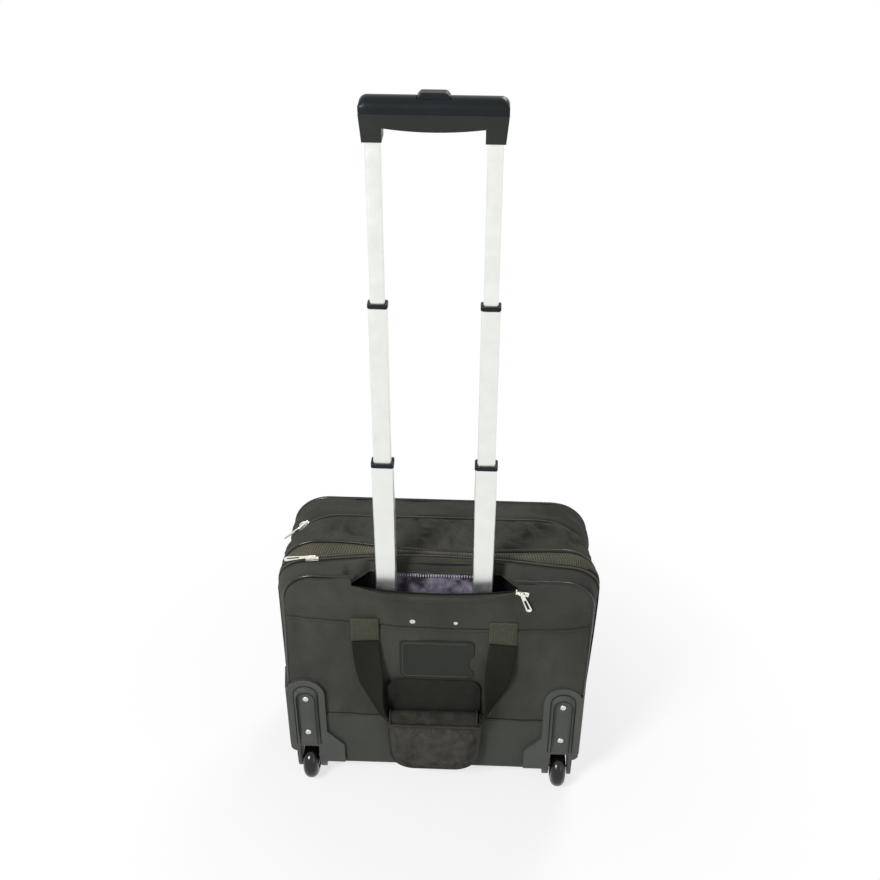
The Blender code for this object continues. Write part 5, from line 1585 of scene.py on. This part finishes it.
def card_holder():
    """The card pocket: soft-edged vinyl with a thumb notch, and a welded line round it painted paler, partly
    as a painted highlight along its edge.
    """
    softened("card_holder", "card_vinyl", 0.0009, 3)
    low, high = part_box("card_holder")
    inset, corner = 0.0042, 0.0058
    turn = np.linspace(0, np.pi / 2, 8)
    left, right = low.x + inset, high.x - 0.0095
    bottom, top = low.z + inset, high.z - inset
    lower = arc((left + corner, bottom + corner), -corner, turn)
    upper = arc((left + corner, top - corner), -corner, -turn)
    line = np.concatenate([[(right, bottom)], lower[::-1], upper, [(right, top)]])
    path = coords(line[:, 0], low.y, line[:, 1])
    path, _ = even_path(path, REARWARD, 0.002)
    # The weld line is paler than the pocket, partly as a painted highlight on its edge
    laid("card_holder_weld_and_highlight", path, REARWARD, ring_profile(0.0009, 8, 0.7), "vinyl", "case_base")


def front_handle():
    """The webbing handle on the lid: sewn ends, hanging legs and a rolled grip."""
    flat_y = FRONT_Y + 0.0018
    grip_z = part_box("front_handle_strap")[0].z + 0.0165
    bend = 0.030
    corner = arc((FRONT_LEG_X - bend, grip_z + bend), bend, np.radians(np.linspace(0, -90, 14)))
    right = np.concatenate([[(FRONT_LEG_X, FRONT_AXIS_Z)], corner, [(0.0, grip_z)]])
    line = np.concatenate([right, (right * (-1, 1))[::-1][1:]])
    path = coords(line[:, 0], flat_y, line[:, 1])
    path, _ = even_path(path, FORWARD, 0.004)
    path[:, 1] += 0.0040 * smooth((FRONT_AXIS_Z - 0.03 - path[:, 2]) / 0.05)
    webbing("front_handle_web", path, FORWARD, FRONT_WEB_HALF, 0.0020, "webbing_dark", "front_handle",
            ("front_handle_strap",))
    x = np.linspace(-FRONT_GRIP_HALF, FRONT_GRIP_HALF, 48)
    profile = rolled(x, FRONT_GRIP_HALF, (0.18, 0.008), (0.05, 34, 30, 71.0), (0.0172, 0.0050), 26)
    centre = coords(x, FRONT_Y + 0.0074, grip_z)
    grip = laid("front_handle_grip", centre, FORWARD, profile, "wrap", "front_handle")
    seam = coords(x[2:-2], FRONT_Y + 0.0126, grip_z)
    stitches("front_handle_grip_stitches", [(seam, FORWARD)], "thread", "front_handle")
    for name, side in SIDES:
        middle = side * FRONT_LEG_X
        end = coords(middle, FRONT_Y + 0.0006, FRONT_AXIS_Z + np.linspace(0.0012, 0.0400, 12))
        webbing(f"front_handle_end_{name}", end, FORWARD, FRONT_WEB_HALF, 0.0022, "webbing_dark", "lid")
        boxed_cross(f"front_handle_end_{name}", middle, flat_y, 0.0115, FRONT_AXIS_Z + 0.006,
                    FRONT_AXIS_Z + 0.035, FORWARD, "lid")


def stage():
    """A pale floor that keeps the shadow, white surroundings and soft lamps."""
    corners = [(a * FLOOR_HALF, b * FLOOR_HALF, 0) for a, b in ((-1, -1), (1, -1), (1, 1), (-1, 1))]
    floor_mesh = bpy.data.meshes.new("floor")
    floor_mesh.from_pydata(corners, [], [(0, 1, 2, 3)])
    floor_mesh.materials.append(floor_material())
    linked("floor", floor_mesh)
    graph = Graph("studio", bpy.data.worlds)
    level = graph.spread(graph.shown(), 0.0, 1.0, WORLD_LIGHT, 1.0)
    graph.feed(graph.tree.nodes["Background"], Strength=level, Color=(1, 1, 1, 1))
    bpy.context.scene.world = graph.owner
    for name, at, aim, width, watts in LAMPS:
        lamp = bpy.data.lights.new(name, "AREA")
        lamp.size = width
        lamp.energy = watts
        holder = linked(name, lamp)
        holder.location = at
        holder.rotation_euler = (Vector(aim) - Vector(at)).to_track_quat("-Z", "Y").to_euler()


def floor_material():
    """A pale floor near the case, which fades to plain white where the camera sees it further out."""
    graph = Graph("floor")
    plain = graph.add("ShaderNodeBsdfDiffuse", Color=(0.93, 0.93, 0.93, 1))
    bright = graph.add("ShaderNodeEmission", Color=(1, 1, 1, 1), Strength=1.0)
    away = graph.add("ShaderNodeVectorMath", {"operation": "LENGTH"}, _0=graph.place())
    near = graph.spread(away.outputs["Value"], 0.25, 0.60, 0.72, 1.0)
    share = graph.times(graph.shown(), near)
    mixed = graph.add("ShaderNodeMixShader", Fac=share, _1=plain.outputs[0], _2=bright.outputs[0])
    graph.feed(graph.tree.nodes["Material Output"], Surface=mixed.outputs[0])
    return graph.owner


def camera():
    """The camera at the photograph's viewing angle."""
    data = bpy.data.cameras.new("camera")
    data.lens = LENS
    data.sensor_width = SENSOR
    holder = linked("camera", data)
    pitch, yaw = math.radians(CAMERA_PITCH), math.radians(CAMERA_YAW)
    ahead = Vector((math.sin(yaw) * math.cos(pitch), math.cos(yaw) * math.cos(pitch), -math.sin(pitch)))
    right = Vector((math.cos(yaw), -math.sin(yaw), 0))
    up = right.cross(ahead)
    turn = Matrix((right, up, -ahead)).transposed().to_4x4()
    roll = Matrix.Rotation(math.radians(CAMERA_ROLL), 4, "Z")
    holder.matrix_world = Matrix.Translation(CAMERA_AT) @ turn @ roll
    bpy.context.scene.camera = holder
    bpy.context.scene.view_settings.view_transform = "Standard"


camera()
stage()
gussets()
pipings()
zips()
rear_panel()
kick_panel()
lid_face()
hinge_strip()
linings()
hard_parts()
zip_metalwork()
card_holder()
for name, side in SIDES:
    anchor(name)
    carry_strap(name, side)
wrap_pad()
wrap_roll()
wrap_back()
front_handle()
